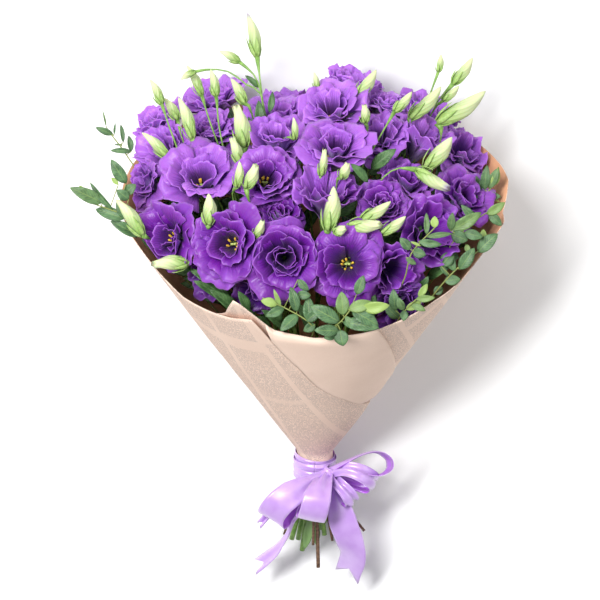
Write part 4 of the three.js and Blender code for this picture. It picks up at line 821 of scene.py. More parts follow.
def twig_form(number):
    """One woody twig with the leaves that it carries, fresher towards its tip."""
    _, path, leaves = TWIGS[number]
    form = Form()
    first = np.array(path[0], dtype=float)
    along = first @ AXIS
    side = unit(first - along * AXIS)
    short = CUT_AT.get(number, STEM_END - 6 + 26 * (chance(number, 21) - 0.3))
    end = raised_to(side * TWIG_OFFSET * SPLAYED.get(number, TWIG_SPLAY) - AXIS * short, TWIG_LOW)
    low, high = side * TWIG_OFFSET - AXIS * UNDER_TIE, side * TWIG_OFFSET + AXIS * OVER_TIE
    bend = side * BEND_OUT * cone_radius(BEND_UP * along) + AXIS * BEND_UP * along
    leafy = np.array([within_paper(p) for p in smooth_path(path, 14)])
    spine = smooth_path(np.vstack([[end, low, high, bend], leafy]), TWIG_POINTS)
    girth = np.linspace(THICK.get(number, TWIG_FOOT), TWIG_TIP, TWIG_POINTS)
    form.tube(spine, girth, 1, 7, np.linspace(0, 1, TWIG_POINTS))
    leafy = smooth_path(leafy, LEAFY_POINTS)
    for order, (x, y, tip_x, tip_y, width, fresh) in enumerate(leaves):
        gaps = np.hypot(leafy[:, 0] - x, leafy[:, 1] - y)
        near = leafy[np.argmin(gaps)]
        base = np.array([x, y, near[2] + 0.3 * gaps.min() * (chance(number, order) - 0.3)])
        length = math.hypot(tip_x - x, tip_y - y)
        tip = np.array([tip_x, tip_y, base[2] + length * (0.5 * chance(number, 11 + order) - 0.12)])
        if gaps.min() > 1.2:
            form.tube(smooth_path([near, (near + base) / 2 + [0, 0, 0.6], base], 6), 0.45, 1, 5, 0.8)
        facing = [0.5 * astray(number, 41 + order), 0.5 * astray(number, 51 + order), 1]
        form.leaf(base, tip, facing, width, 0, fresh)
    return form


# ---- Paper ----
# The sheet's loose edge and the flap's edge: height over the tie, and turn in degrees
LOOSE_EDGE = [(-15, -100), (45, -100), (66, -52), (96, -14.5), (150, 9.5), (211, 22)]
FLAP_EDGE = [(70, -75), (100, -60), (139.5, -41.6), (191, -24)]
# The sheet: turn where it starts, degrees that it goes round, height of its foot, and its thickness
SHEET_START, SHEET_TURN, SHEET_FOOT = 50, 388, -15
SHEET_THICKNESS, FLAP_THICKNESS = 0.7, 0.6
# The sheet's end lies close from this share of its turn on, below this height
END_FROM, END_SPAN, END_CLOSE, END_BELOW = 0.88, 0.12, 0.66, 92
# The flap: share of it that goes over the rim, its height at four shares, and its lift
FOLD_SHARE, FLAP_LEVELS, FLAP_LIFT = 0.07, ([0, 0.07, 0.5, 1], [192, 184, 130, 74]), 1.03


def layer_gap(along):
    """Room between two rounds of the sheet."""
    return 1.6 + 3.6 * np.clip(along / 130, 0, 1)


def on_paper(along, turn, lift=0.0):
    """Points on the wound sheet, slightly creased."""
    wound = (SHEET_START - turn) / 360
    radius = cone_radius(along) + layer_gap(along) * (wound + lift)
    out = around(FRONT, -RIGHT, np.radians(turn))
    points = AXIS * along[..., None] + out * radius[..., None]
    crease = hash_noise(points, 60, 4) * 0.55 + hash_noise(points, 22, 8) * 0.22
    points = points + out * (crease * np.clip(along / 60, 0, 1))[..., None]
    return raised_to(points, 0.45)


def on_curve(level, knots):
    """A smooth line through the knots, read at the level."""
    known, value = np.array(knots, float).T
    slope = np.gradient(value, known)
    level = np.clip(level, known[0], known[-1])
    k = np.clip(np.searchsorted(known, level) - 1, 0, len(known) - 2)
    gap = known[k + 1] - known[k]
    t = (level - known[k]) / gap
    blend = t * t * (3 - 2 * t)
    pull = slope[k] * t * (1 - t) ** 2 - slope[k + 1] * t * t * (1 - t)
    return value[k] + (value[k + 1] - value[k]) * blend + gap * pull


def unrolled(along, turn):
    """Where a point of the cone lies on the flat sheet, in metres."""
    slant = along / math.cos(CONE_HALF_ANGLE) + NECK_RADIUS / math.sin(CONE_HALF_ANGLE)
    angle = np.radians(turn) * math.sin(CONE_HALF_ANGLE)
    return np.stack([-slant * np.sin(angle), slant * np.cos(angle)], axis=-1) / 1000


def paper_form():
    """The wound sheet with its folded-out corner."""
    form = Form()
    share, wound = shares(46, 190)
    foot, end = SHEET_FOOT, SHEET_START - SHEET_TURN
    end_turn = on_curve(foot + share * (rim_at(end) - foot), LOOSE_EDGE) - 360
    turn = SHEET_START + wound * (end_turn - SHEET_START)
    along = foot + share * (rim_at(turn) - foot)
    ending = (np.clip(wound - END_FROM, 0, END_SPAN) / END_SPAN) ** 2
    lift = -END_CLOSE * ending * np.clip((END_BELOW - along) / 20, 0, 1)
    # Its inner side takes the darker, browner finish: painted shade inside the cone
    form.blade(on_paper(along, turn, lift), 0, SHEET_THICKNESS, places=unrolled(along, turn), back=1)
    share, k = shares(26, 34)
    level = np.interp(share, *FLAP_LEVELS)
    left, right = on_curve(level, LOOSE_EDGE) - 0.4, on_curve(level, FLAP_EDGE)
    turn = left + (right - left) * k
    folded = np.clip(share / FOLD_SHARE, 0, 1)
    along = np.where(folded < 1, rim_at(turn) + 0.3 - 6.3 * folded, np.minimum(level, rim_at(turn) - 6))
    lift = 0.05 + FLAP_LIFT * np.sin(folded * math.pi / 2) * (1 - 0.5 * k**2)
    form.blade(on_paper(along, turn, lift)[::-1], 2, FLAP_THICKNESS, places=unrolled(along, turn)[::-1])
    return form


# ---- Ribbon ----
RIBBON_WIDTH = 25.0
KNOT = [12, -22, 9.6]
# Each strip: the points that it passes, the way across it there, its width there and its tail's notch
STRIPS = [
    ([KNOT, [-12, -35, 25], [-30, -48, 29], [-39, -60, 20], [-35, -64, 9], [-24, -55, 3], [-10, -40, 3],
      [10, -27, 6]],
     [[-0.3, 0.9, -0.3], [-0.5, 0.8, -0.2], [-0.72, 0.65, -0.1], [-0.85, 0.5, 0], [-0.85, 0.5, 0], [-0.8, 0.6, 0],
      [-0.6, 0.7, 0], [-0.3, 0.9, -0.3]], [7, 15, 24, 25, 25, 22, 15, 7], 0),
    ([KNOT, [7, -30, 26], [2, -44, 37], [-1, -57, 34], [-4, -64, 22], [-3, -54, 12], [10, -28, 7]],
     [[-1, 0, 0], [-1, 0.1, 0], [-1, 0.14, 0], [-1, 0.2, 0], [-1, 0.22, 0], [-1, 0.1, 0], [-1, 0, 0]],
     [8, 17, 25, 25, 25, 19, 8], 0),
    ([KNOT, [30, -12, 14], [45, -5.5, 13], [56, -4.5, 12], [65, -10, 12], [66, -18, 12], [58, -24, 12],
      [44, -23, 12], [28, -20, 12], [16, -22, 9]],
     [[0, 0.06, 1], [0, 0.06, 1], [0, 0.06, 1], [0.1, 0.1, 1], [0.3, 0.1, 1], [0.35, 0, 1], [0.1, -0.1, 1],
      [0, -0.1, 1], [0, 0, 1], [0, 0, 1]], [7, 14, 19, 21, 22, 22, 20, 18, 13, 7], 0),
    ([[15, -23, 12], [28, -19, 22], [42, -23, 24], [52, -30, 15], [49, -35, 5], [34, -32, 3], [16, -26, 7]],
     [[-0.4, -0.8, 0.4], [-0.3, -0.85, 0.4], [-0.35, -0.8, 0.5], [-0.4, -0.7, 0.6], [-0.4, -0.7, 0.6],
      [-0.4, -0.7, 0.5], [-0.4, -0.7, 0.5]], [7, 13, 17, 18, 17, 13, 7], 0),
    ([[15, -25, 10], [22, -33, 20], [30, -42, 20], [33, -49, 12], [27, -46, 4], [15, -29, 6]],
     [[-0.8, -0.5, 0.3], [-0.8, -0.5, 0.3], [-0.75, -0.55, 0.35], [-0.7, -0.6, 0.4], [-0.75, -0.5, 0.4],
      [-0.8, -0.5, 0.3]], [6, 11, 14, 14, 12, 6], 0),
    ([[14, -26, 8], [20, -45, 8], [25, -66, 3], [31, -83, -6], [34, -97, -18], [31, -108, -31]],
     [[-1, 0, 0], [-1, -0.2, -0.1], [-1, -0.3, -0.1], [-1, -0.25, -0.25], [-0.9, 0.05, -0.5], [-0.85, 0.3, -0.5]],
     [7, 18, 25, 25, 25, 25], 13),
    ([[11, -26, 8], [-4, -46, 3], [-19, -64, 0], [-25, -78, -8], [-33, -90, -19], [-42, -98, -29], [-47, -102, -34]],
     [[0.5, 0.1, 0.9], [0.3, 0.15, 0.95], [0.15, 0.1, 1], [0.15, 0.15, 1], [0.2, -0.1, 1], [0.4, -0.3, 0.9],
      [0.5, -0.4, 0.8]], [6, 12, 15, 16, 17, 17, 17], 11),
    ([[-26, -46, 1], [-40, -58, 0], [-47, -66, -2]], [[0.6, -0.5, 0.6], [0.6, -0.5, 0.6], [0.6, -0.4, 0.6]],
     [10, 10, 9], 5),
]
# The ribbon's thickness, its least height over the floor, the band's radius and points across a strip
RIBBON_THICKNESS, RIBBON_HEIGHT, BAND_RADIUS, STRIP_COLUMNS = 0.35, 1.2, 17.6, 13
# The band's two rounds: where the wave starts, top, foot and lift
ROUNDS = ((0, -4.5, -20, 0.0), (1.2, -9.5, -27, 1.1))


def strip_grid(path, across, width, tail):
    """Points of one strip of ribbon, gathered where it is narrow."""
    steps = 9 * (len(path) - 1) + 1
    at, knots = np.linspace(0, len(path) - 1, steps), np.arange(len(path))
    middle = smooth_path(path, steps)
    side = np.stack([np.interp(at, knots, each) for each in np.array(across, dtype=float).T], axis=1)
    along = directions(middle)
    side -= along * np.sum(side * along, axis=1)[:, None]
    side /= np.linalg.norm(side, axis=1)[:, None]
    normal = np.cross(side, along)
    half = np.interp(at, knots, width)[:, None] / 2
    u = np.linspace(-1, 1, STRIP_COLUMNS)
    gather = np.clip(1 - half / (RIBBON_WIDTH / 2), 0, 1)
    fold = gather * 4.2 * np.sin(u[None] * 5.2 + 0.8) + 0.7 * np.cos(u[None] * 1.6)
    points = (middle[:, None] + side[:, None] * (u[None] * half)[..., None] + normal[:, None] * fold[..., None])
    if tail:
        notch = along[-1] * (tail * np.abs(u))[:, None]
        points = np.concatenate([points, [points[-1] + notch * 0.5], [points[-1] + notch]])
    return raised_to(points, RIBBON_HEIGHT)


def ribbon_form():
    """The band, the knot, the loops and the tails as one length of ribbon."""
    form = Form()
    for path, across, width, tail in STRIPS:
        # Backs of the loops, band and knot take the inner satin with its painted shade
        form.blade(strip_grid(path, across, width, tail), 0, RIBBON_THICKNESS, back=0 if tail else 1)
    for start, top, foot, lift in ROUNDS:
        v, u = np.meshgrid(np.linspace(0, 2 * math.pi, 97), np.linspace(0, 1, 21), indexing="ij")
        along = foot + (top - foot) * u + 2.2 * np.sin(v + 0.4 + start)
        pleats = 0.55 * np.sin(u * 15 + 2.2 * np.sin(v + start)) + 0.3 * np.sin(u * 31 - 3 * np.sin(v))
        radius = BAND_RADIUS + lift + pleats * (0.5 + 0.5 * np.cos(v / 2) ** 2)
        points = AXIS * along[..., None] + around(FRONT, -RIGHT, v) * radius[..., None]
        form.blade(raised_to(points, RIBBON_HEIGHT), 0, RIBBON_THICKNESS, back=1)
    along = unit([0.35, 0.8, 0.5])
    side = unit(np.cross(along, FRONT))
    v, u = np.meshgrid(np.linspace(-2.3, 2.3, 31), np.linspace(-1, 1, 17), indexing="ij")
    radius = 5.0 + 0.6 * np.sin(u * 9 + 2 * v) - 1.4 * u**2
    points = np.array(KNOT) + around(FRONT, side, v) * radius[..., None] + along * (u * 6.0)[..., None]
    form.blade(points[::-1], 0, RIBBON_THICKNESS, back=1)
    return form


# ---- Colours: red, green, blue and 1 ----
PETAL_SHADE, PETAL_LINE = (0.050, 0.006, 0.135, 1), (0.045, 0.006, 0.14, 1)
# The petals' rim colour is a painted highlight
PETAL_CLOUD, PETAL_RIM_HIGHLIGHT = (0.170, 0.040, 0.46, 1), (0.46, 0.22, 0.70, 1)
BUD_LINE, BUD_TIP = (0.28, 0.42, 0.10, 1), (0.22, 0.07, 0.45, 1)
SATIN_EDGE = (0.80, 0.66, 0.94, 1)
BARK_DARK, BARK_LIGHT, YOUNG_BARK = (0.07, 0.030, 0.018, 1), (0.20, 0.11, 0.06, 1), (0.25, 0.30, 0.08, 1)
# Name: colour of the foot and how far it reaches
PETALS = {
    # The face's near-black foot is partly the throat's own deep colour and partly painted shade deep in the bloom
    "petal_face": ((0.026, 0.006, 0.062, 1), 0.58),
    "petal_back": ((0.52, 0.42, 0.72, 1), 0.86),
}
# Name: dark and light colour, scale of the grain and roughness
SKINS = {
    "anther": ((0.55, 0.28, 0.02, 1), (0.90, 0.62, 0.06, 1), 900.0, 0.7),
    "pistil": ((0.30, 0.42, 0.08, 1), (0.55, 0.62, 0.20, 1), 600.0, 0.5),
    "stem_skin": ((0.13, 0.27, 0.045, 1), (0.26, 0.45, 0.10, 1), 240.0, 0.42),
    "sepal": ((0.22, 0.38, 0.08, 1), (0.40, 0.56, 0.18, 1), 300.0, 0.5),
}
# Name: dark, light and fresh colour
LEAVES = {
    "stem_leaf": ((0.030, 0.085, 0.025, 1), (0.085, 0.19, 0.06, 1), (0.20, 0.34, 0.12, 1)),
    "twig_leaf": ((0.034, 0.088, 0.038, 1), (0.098, 0.205, 0.088, 1), (0.31, 0.44, 0.11, 1)),
}
# Name: two colours that cloud into each other, and the ink
PAPERS = {
    "printed_paper": ((0.88, 0.68, 0.56, 1), (0.79, 0.59, 0.475, 1), (0.20, 0.16, 0.16, 1)),
    "plain_paper": ((0.88, 0.68, 0.56, 1), (0.79, 0.59, 0.475, 1), None),
    # The sheet's inner side is the same plain paper as the flap, painted darker and browner as shade inside the cone
    "paper_inside_shade": ((0.70, 0.38, 0.22, 1), (0.56, 0.27, 0.15, 1), None),
}
# The ribbon's inner side is the same satin, painted deeper and more saturated as shade inside the loops, band and
# knot
SATIN_INSIDE_SHADE = (0.40, 0.085, 0.66, 1), (0.48, 0.14, 0.74, 1)


# ---- Shader groups and materials ----
def group(name, inputs):
    """A shader node group with named sockets and one mask as its output."""
    tree = bpy.data.node_groups.new(name, "ShaderNodeTree")
    for label, kind, default in inputs:
        socket = tree.interface.new_socket(name=label, in_out="INPUT", socket_type="NodeSocket" + kind)
        if default is not None:
            socket.default_value = default
    tree.interface.new_socket(name="Mask", in_out="OUTPUT", socket_type="NodeSocketFloat")
    end = tree.nodes.new("NodeGroupOutput")
    return Wiring(tree), tree.nodes.new("NodeGroupInput").outputs, end.inputs["Mask"]


class Wiring:
    """Short ways to add nodes to one tree and join them."""

    def __init__(self, tree):
        self.tree = tree

    def node(self, kind, **settings):
        made = self.tree.nodes.new(kind)
        for key, value in settings.items():
            setattr(made, key, value)
        return made

    def join(self, source, target):
        self.tree.links.new(source, target)

    def feed(self, socket, value):
        if isinstance(value, bpy.types.NodeSocket):
            self.join(value, socket)
        else:
            socket.default_value = value

    def math(self, operation, *values, clamp=False):
        made = self.node("ShaderNodeMath", operation=operation, use_clamp=clamp)
        for socket, value in zip(made.inputs, values):
            self.feed(socket, value)
        return made.outputs[0]

    def times(self, *values, clamp=False):
        return self.math("MULTIPLY", *values, clamp=clamp)

    def plus(self, *values):
        return self.math("ADD", *values)

    def from_middle(self, across):
        """How far a place lies from the middle, up to 0.5."""
        return self.math("ABSOLUTE", self.math("SUBTRACT", across, 0.5))

    def noise(self, vector, scale, detail=3.0, roughness=0.5):
        made = self.node("ShaderNodeTexNoise")
        for label, value in (("Vector", vector), ("Scale", scale), ("Detail", detail), ("Roughness", roughness)):
            self.feed(made.inputs[label], value)
        return made.outputs["Fac"]

    def mix(self, share, a, b):
        made = self.node("ShaderNodeMix", data_type="RGBA")
        for number, value in ((0, share), (6, a), (7, b)):
            self.feed(made.inputs[number], value)
        return made.outputs[2]

    def bump(self, height, strength, distance):
        made = self.node("ShaderNodeBump")
        for label, value in (("Height", height), ("Strength", strength), ("Distance", distance)):
            self.feed(made.inputs[label], value)
        return made.outputs["Normal"]

    def place(self):
        return self.node("ShaderNodeUVMap", uv_map="place").outputs["UV"]

    def tone(self):
        return self.node("ShaderNodeAttribute", attribute_name="tone", attribute_type="GEOMETRY").outputs["Fac"]

    def object_place(self):
        return self.node("ShaderNodeTexCoord").outputs["Object"]

    def apart(self, vector):
        made = self.node("ShaderNodeSeparateXYZ")
        self.join(vector, made.inputs[0])
        return made.outputs[0], made.outputs[1]

    def vector(self, x, y):
        made = self.node("ShaderNodeCombineXYZ")
        self.feed(made.inputs[0], x)
        self.feed(made.inputs[1], y)
        return made.outputs[0]

    def ranged(self, value, low, high, to_low=0.0, to_high=1.0):
        made = self.node("ShaderNodeMapRange", interpolation_type="SMOOTHSTEP")
        self.feed(made.inputs["Value"], value)
        for label, number in (("From Min", low), ("From Max", high), ("To Min", to_low), ("To Max", to_high)):
            self.feed(made.inputs[label], number)
        return made.outputs["Result"]

    def use(self, tree, **values):
        made = self.node("ShaderNodeGroup", node_tree=tree)
        for label, value in values.items():
            self.feed(made.inputs[label.replace("_", " ")], value)
        return made.outputs[0]

    def spread(self, noise):
        """Noise that stays near the middle, over its full range."""
        return self.ranged(noise, 0.3, 0.7)

    def speckle(self, grain, scale):
        return self.spread(self.use(grain, Place=self.object_place(), Scale=scale))


def veins_group():
    """Fine lines that fan out from the foot of a petal or leaf."""
    w, inside, mask = group("Veins", [("Place", "Vector", None), ("Count", "Float", 24.0), ("Waver", "Float", 0.05)])
    across, along = w.apart(inside["Place"])
    waver = w.times(w.math("SUBTRACT", w.noise(inside["Place"], 5.0), 0.5), inside["Waver"])
    lines = w.math("SINE", w.times(w.plus(across, waver), w.times(inside["Count"], 6.2832)))
    sharp = w.math("POWER", w.math("MULTIPLY_ADD", lines, 0.5, 0.5), 3.0)
    w.join(w.times(sharp, w.ranged(along, 1.0, 0.35)), mask)
    return w.tree


def grain_group():
    """Soft unevenness at one scale, for skin and fibres."""
    w, inside, mask = group("Grain", [
        ("Place", "Vector", None), ("Scale", "Float", 400.0), ("Stretch", "Vector", (1, 1, 1)),
    ])
    stretched = w.node("ShaderNodeVectorMath", operation="MULTIPLY")
    w.join(inside["Place"], stretched.inputs[0])
    w.join(inside["Stretch"], stretched.inputs[1])
    w.join(w.noise(stretched.outputs[0], inside["Scale"], 4.0, 0.6), mask)
    return w.tree


def print_group():
    """Columns of small unreadable lines, as on newsprint."""
    w, inside, mask = group("Small Print", [
        ("Place", "Vector", None), ("Line Pitch", "Float", 0.0021), ("Column Width", "Float", 0.044),
    ])
    turned = w.node("ShaderNodeMapping")
    turned.inputs["Rotation"].default_value = (0, 0, math.radians(-14))
    w.join(inside["Place"], turned.inputs["Vector"])
    across, along = w.apart(turned.outputs[0])
    column = w.math("DIVIDE", across, inside["Column Width"])
    in_column = w.math("FRACT", column)
    margin = w.times(w.math("GREATER_THAN", in_column, 0.06), w.math("LESS_THAN", in_column, 0.94))
    row = w.math("DIVIDE", along, inside["Line Pitch"])
    in_row = w.math("FRACT", row)
    inked = w.times(w.ranged(in_row, 0.18, 0.32), w.ranged(in_row, 0.82, 0.68))
    cells = w.vector(w.times(across, 900.0), w.times(w.math("FLOOR", row), 3.7))
    letters = w.ranged(w.noise(cells, 1.0, 1.0), 0.40, 0.50)
    blocks = w.vector(w.math("FLOOR", column), w.times(along, 26.0))
    patch = w.ranged(w.noise(blocks, 1.3, 0.0), 0.30, 0.36)
    w.join(w.times(w.times(inked, letters), w.times(margin, patch)), mask)
    return w.tree


def material(name, build, **settings):
    """A material whose Principled shader keeps its plain values on its own sockets."""
    made = bpy.data.materials.new(name)
    made.use_nodes = True
    shader = made.node_tree.nodes["Principled BSDF"]
    for label, value in settings.items():
        shader.inputs[label.replace("_", " ")].default_value = value
    for label, source in build(Wiring(made.node_tree)).items():
        made.node_tree.links.new(source, shader.inputs[label.replace("_", " ")])
    return made


def petal_finish(name, veins, colours, foot_colour, foot_reach):
    def build(w):
        place, tone, pale = w.place(), w.tone(), tuple(colours.petal_pale)
        across, along = w.apart(place)
        body = w.mix(w.times(tone, 1.25, clamp=True), tuple(colours.petal_deep), pale)
        shaded = w.mix(w.ranged(tone, 0.0, -0.6), body, PETAL_SHADE)
        # Lighter towards the rim, up to a fifth of the way to the pale colour: painted highlight
        shaded = w.mix(w.ranged(along, 0.55, 1.0, 0.0, 0.20), shaded, pale)
        # Towards the foot the colour turns to the foot colour: on the face partly the throat's own deep colour,
        # partly painted shade
        base = w.mix(w.times(w.ranged(along, foot_reach, 0.04), 0.88), shaded, foot_colour)
        lines = w.use(veins, Place=place, Count=17.0, Waver=0.09)
        lined = w.mix(w.times(lines, 0.42), base, PETAL_LINE)
        cloud = w.ranged(w.noise(w.object_place(), 55.0), 0.35, 0.7)
        clouded = w.mix(w.times(cloud, 0.22), lined, PETAL_CLOUD)
        # Painted highlight: a thin lighter line along the rim and the side edges of each petal
        rim = w.math("MAXIMUM", w.ranged(along, 0.94, 1.0), w.ranged(w.from_middle(across), 0.47, 0.5))
        skin = w.plus(lines, w.noise(w.object_place(), 420.0))
        return {"Base_Color": w.mix(w.times(rim, 0.26), clouded, PETAL_RIM_HIGHLIGHT),
                "Roughness": w.ranged(cloud, 0.0, 1.0, 0.36, 0.46), "Normal": w.bump(skin, 0.5, 0.0006)}

    return material(name, build, Sheen_Weight=0.05, Sheen_Roughness=0.4, Specular_IOR_Level=0.36,
                    Subsurface_Weight=0.05, Subsurface_Scale=0.003)


def plain_finish(name, grain, dark, light, scale, rough):
    def build(w):
        mask = w.speckle(grain, scale)
        return {"Base_Color": w.mix(mask, dark, light), "Roughness": w.ranged(mask, 0.0, 1.0, rough, rough + 0.12),
                "Normal": w.bump(mask, 0.3, 0.0004)}

    return material(name, build)


def bud_finish(veins, colours):
    def build(w):
        place = w.place()
        along = w.apart(place)[1]
        cream = w.mix(w.ranged(along, 0.05, 0.75), tuple(colours.bud_green), tuple(colours.bud_cream))
        lines = w.use(veins, Place=place, Count=12.0, Waver=0.03)
        lined = w.mix(w.times(lines, 0.30), cream, BUD_LINE)
        tip = w.times(w.ranged(along, 0.80, 1.0), w.tone())
        return {"Base_Color": w.mix(w.times(tip, 0.6), lined, BUD_TIP), "Normal": w.bump(lines, 0.4, 0.0006)}

    return material("bud", build, Roughness=0.5, Subsurface_Weight=0.15, Subsurface_Scale=0.004)


def leaf_finish(name, veins, grain, dark, light, fresh):
    def build(w):
        across, along = w.apart(w.place())
        aged = w.mix(w.ranged(w.tone(), 0.35, 1.1), w.mix(w.speckle(grain, 160.0), dark, light), fresh)
        aside = w.from_middle(across)
        rib = w.ranged(aside, 0.045, 0.0)
        slant = w.vector(w.math("SUBTRACT", along, w.times(aside, 0.5)), 0.0)
        lines = w.use(veins, Place=slant, Count=9.0, Waver=0.02)
        marks = w.times(w.math("MAXIMUM", rib, w.times(lines, 0.35)), 0.45)
        relief = w.bump(w.math("MAXIMUM", rib, lines), 0.35, 0.0004)
        return {"Base_Color": w.mix(marks, aged, fresh), "Normal": relief}

    return material(name, build, Roughness=0.45, Specular_IOR_Level=0.45)


def twig_finish(grain):
    def build(w):
        mask = w.speckle(grain, 500.0)
        bark = w.mix(mask, BARK_DARK, BARK_LIGHT)
        return {"Base_Color": w.mix(w.ranged(w.tone(), 0.35, 0.75), bark, YOUNG_BARK),
                "Normal": w.bump(mask, 0.5, 0.0005)}

    return material("twig_bark", build, Roughness=0.7)


def paper_finish(name, grain, prints, first, second, ink):
    def build(w):
        place = w.place()
        fibres = w.use(grain, Place=place, Scale=700.0, Stretch=(1.0, 3.0, 1.0))
        cloud = w.use(grain, Place=place, Scale=24.0)
        share = w.times(w.plus(w.spread(fibres), w.spread(cloud)), 0.5)
        colour = w.mix(share, second, first)
        if ink:
            small = w.use(prints, Place=place, Line_Pitch=0.0021, Column_Width=0.044)
            worn = w.ranged(cloud, 0.25, 0.6, 0.45, 0.85)
            colour = w.mix(w.times(small, w.times(worn, 0.62)), colour, ink)
        return {"Base_Color": colour, "Normal": w.bump(w.plus(fibres, w.times(cloud, 2.0)), 0.25, 0.0006)}

    return material(name, build, Roughness=0.82, Specular_IOR_Level=0.25)


def satin_finish(name, shade, light):
    def build(w):
        across, along = w.apart(w.place())
        threads = w.math("SINE", w.times(along, 2600.0))
        cloud = w.spread(w.noise(w.object_place(), 60.0))
        edge = w.ranged(w.from_middle(across), 0.465, 0.5)
        # Random clouds of the lighter shine colour over the shade colour: a painted sheen
        return {"Base_Color": w.mix(w.times(edge, 0.3), w.mix(cloud, shade, light), SATIN_EDGE),
                "Roughness": w.ranged(cloud, 0.0, 1.0, 0.28, 0.31),
                "Normal": w.bump(w.plus(threads, edge), 0.08, 0.0002)}

    return material(name, build, Sheen_Weight=0.15, Specular_IOR_Level=0.8, Coat_Weight=0.9, Coat_Roughness=0.27)


# ---- Settings ----
class BunchSizes(bpy.types.PropertyGroup):
    fullness: bpy.props.FloatProperty(
        name="Fullness", description="Bloom radius over its measured radius", default=1.07, min=1.0, max=1.5)
    petal_thickness: bpy.props.FloatProperty(
        name="Petal Thickness", description="Thickness of a petal", default=0.0004,
        unit="LENGTH", subtype="DISTANCE")
    stem_thickness: bpy.props.FloatProperty(
        name="Stem Thickness", description="Diameter of a flowering stem", default=0.0038,
        unit="LENGTH", subtype="DISTANCE")
    leaf_scale: bpy.props.FloatProperty(
        name="Twig Leaves", description="Size of the twigs' leaves", default=1.0, subtype="FACTOR")
    ribbon_length: bpy.props.FloatProperty(
        name="Ribbon Length", description="Length of satin in band, bow and tails", default=0.95,
        unit="LENGTH", subtype="DISTANCE")


class BunchColours(bpy.types.PropertyGroup):
    petal_deep: bpy.props.FloatVectorProperty(
        name="Deep Petal", description="Petals at the front", default=(0.148, 0.008, 0.290, 1),
        subtype="COLOR", size=4)
    petal_pale: bpy.props.FloatVectorProperty(
        name="Pale Petal", description="Petals at the back", default=(0.48, 0.175, 0.72, 1),
        subtype="COLOR", size=4)
    bud_green: bpy.props.FloatVectorProperty(
        name="Bud Foot", description="Buds at their foot", default=(0.26, 0.42, 0.10, 1),
        subtype="COLOR", size=4)
    bud_cream: bpy.props.FloatVectorProperty(
        name="Bud Tip", description="Buds towards their tip", default=(0.60, 0.67, 0.37, 1),
        subtype="COLOR", size=4)
    ribbon: bpy.props.FloatVectorProperty(
        name="Satin", description="Ribbon in the shade", default=(0.50, 0.28, 0.71, 1),
        subtype="COLOR", size=4)
    ribbon_shine: bpy.props.FloatVectorProperty(
        name="Satin Shine", description="Ribbon in the light", default=(0.58, 0.37, 0.78, 1),
        subtype="COLOR", size=4)


# ---- Operators ----
def blooms_now():
    return bloom_frames(bpy.context.scene.bunch_sizes.fullness)


def present(form, name, node, finishes, leaf_size=1.0):
    """Grows and makes a piece that rides on the bunch, stands for its node and wears its finishes."""
    materials = [bpy.data.materials[finish] for finish in finishes]
    form.grow(name, materials, leaf_size)
    piece = form.made(name, materials)
    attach(piece, "root")
    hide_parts(node)
    return piece


class BUNCH_OT_materials(bpy.types.Operator):
    """Builds the shader groups and every material of the bunch"""

    bl_idname = "bunch.materials"
    bl_label = "Bunch Materials"

    def execute(self, context):
        colours = context.scene.bunch_colours
        veins, grain, prints = veins_group(), grain_group(), print_group()
        for name, values in PETALS.items():
            petal_finish(name, veins, colours, *values)
        bud_finish(veins, colours)
        satin_finish("woven_satin", tuple(colours.ribbon), tuple(colours.ribbon_shine))
        satin_finish("satin_inside_shade", *SATIN_INSIDE_SHADE)
        for name, values in SKINS.items():
            plain_finish(name, grain, *values)
        for name, values in LEAVES.items():
            leaf_finish(name, veins, grain, *values)
        twig_finish(grain)
        for name, values in PAPERS.items():
            paper_finish(name, grain, prints, *values)
        return {"FINISHED"}


class BUNCH_OT_blooms(bpy.types.Operator):
    """Makes each bloom's ruffled petals and stamens"""

    bl_idname = "bunch.blooms"
    bl_label = "Blooms"

    def execute(self, context):
        blooms = blooms_now()
        for bloom in blooms:
            form = bloom_form(bloom, blooms, context.scene.bunch_sizes.petal_thickness)
            present(form, bloom["name"] + "_petals", bloom["name"],
                    ("petal_face", "anther", "pistil", "petal_back"))
        return {"FINISHED"}


class BUNCH_OT_stems(bpy.types.Operator):
    """Makes the flowering stems with their buds, calyces and leaves"""

    bl_idname = "bunch.stems"
    bl_label = "Flowering Stems"

    def execute(self, context):
        blooms = blooms_now()
        for number in range(1, STEM_COUNT + 1):
            node = f"flowering_stem_{number:02d}"
            form = stem_form(number, blooms, context.scene.bunch_sizes.stem_thickness * 500)
            present(form, node + "_grown", node, ("stem_skin", "bud", "sepal", "stem_leaf"))
        return {"FINISHED"}


class BUNCH_OT_twigs(bpy.types.Operator):
    """Makes the leafy twigs at the rim"""

    bl_idname = "bunch.twigs"
    bl_label = "Leafy Twigs"

    def execute(self, context):
        for number, (node, *_) in enumerate(TWIGS):
            present(twig_form(number), node + "_grown", node, ("twig_leaf", "twig_bark"),
                    context.scene.bunch_sizes.leaf_scale)
        return {"FINISHED"}


class BUNCH_OT_paper(bpy.types.Operator):
    """Makes the printed paper cone with its folded corner"""

    bl_idname = "bunch.paper"
    bl_label = "Paper Cone"

    def execute(self, context):
        present(paper_form(), "paper_cone", "paper_wrap", ("printed_paper", "paper_inside_shade", "plain_paper"))
        return {"FINISHED"}


class BUNCH_OT_ribbon(bpy.types.Operator):
    """Makes the satin ribbon's band, knot, loops and tails"""

    bl_idname = "bunch.ribbon"
    bl_label = "Satin Ribbon"

    def execute(self, context):
        piece = present(ribbon_form(), "satin_bow", "ribbon", ("woven_satin", "satin_inside_shade"))
        return {"FINISHED"}


FLOOR_REACH, FLOOR_SHADE, FLOOR_LIGHT = 6.0, (0.93, 0.93, 0.93, 1), (0.95, 0.95, 0.95, 1)
WORLD_COLOUR, WORLD_STRENGTH = (0.95, 0.97, 1.0, 1), 0.29
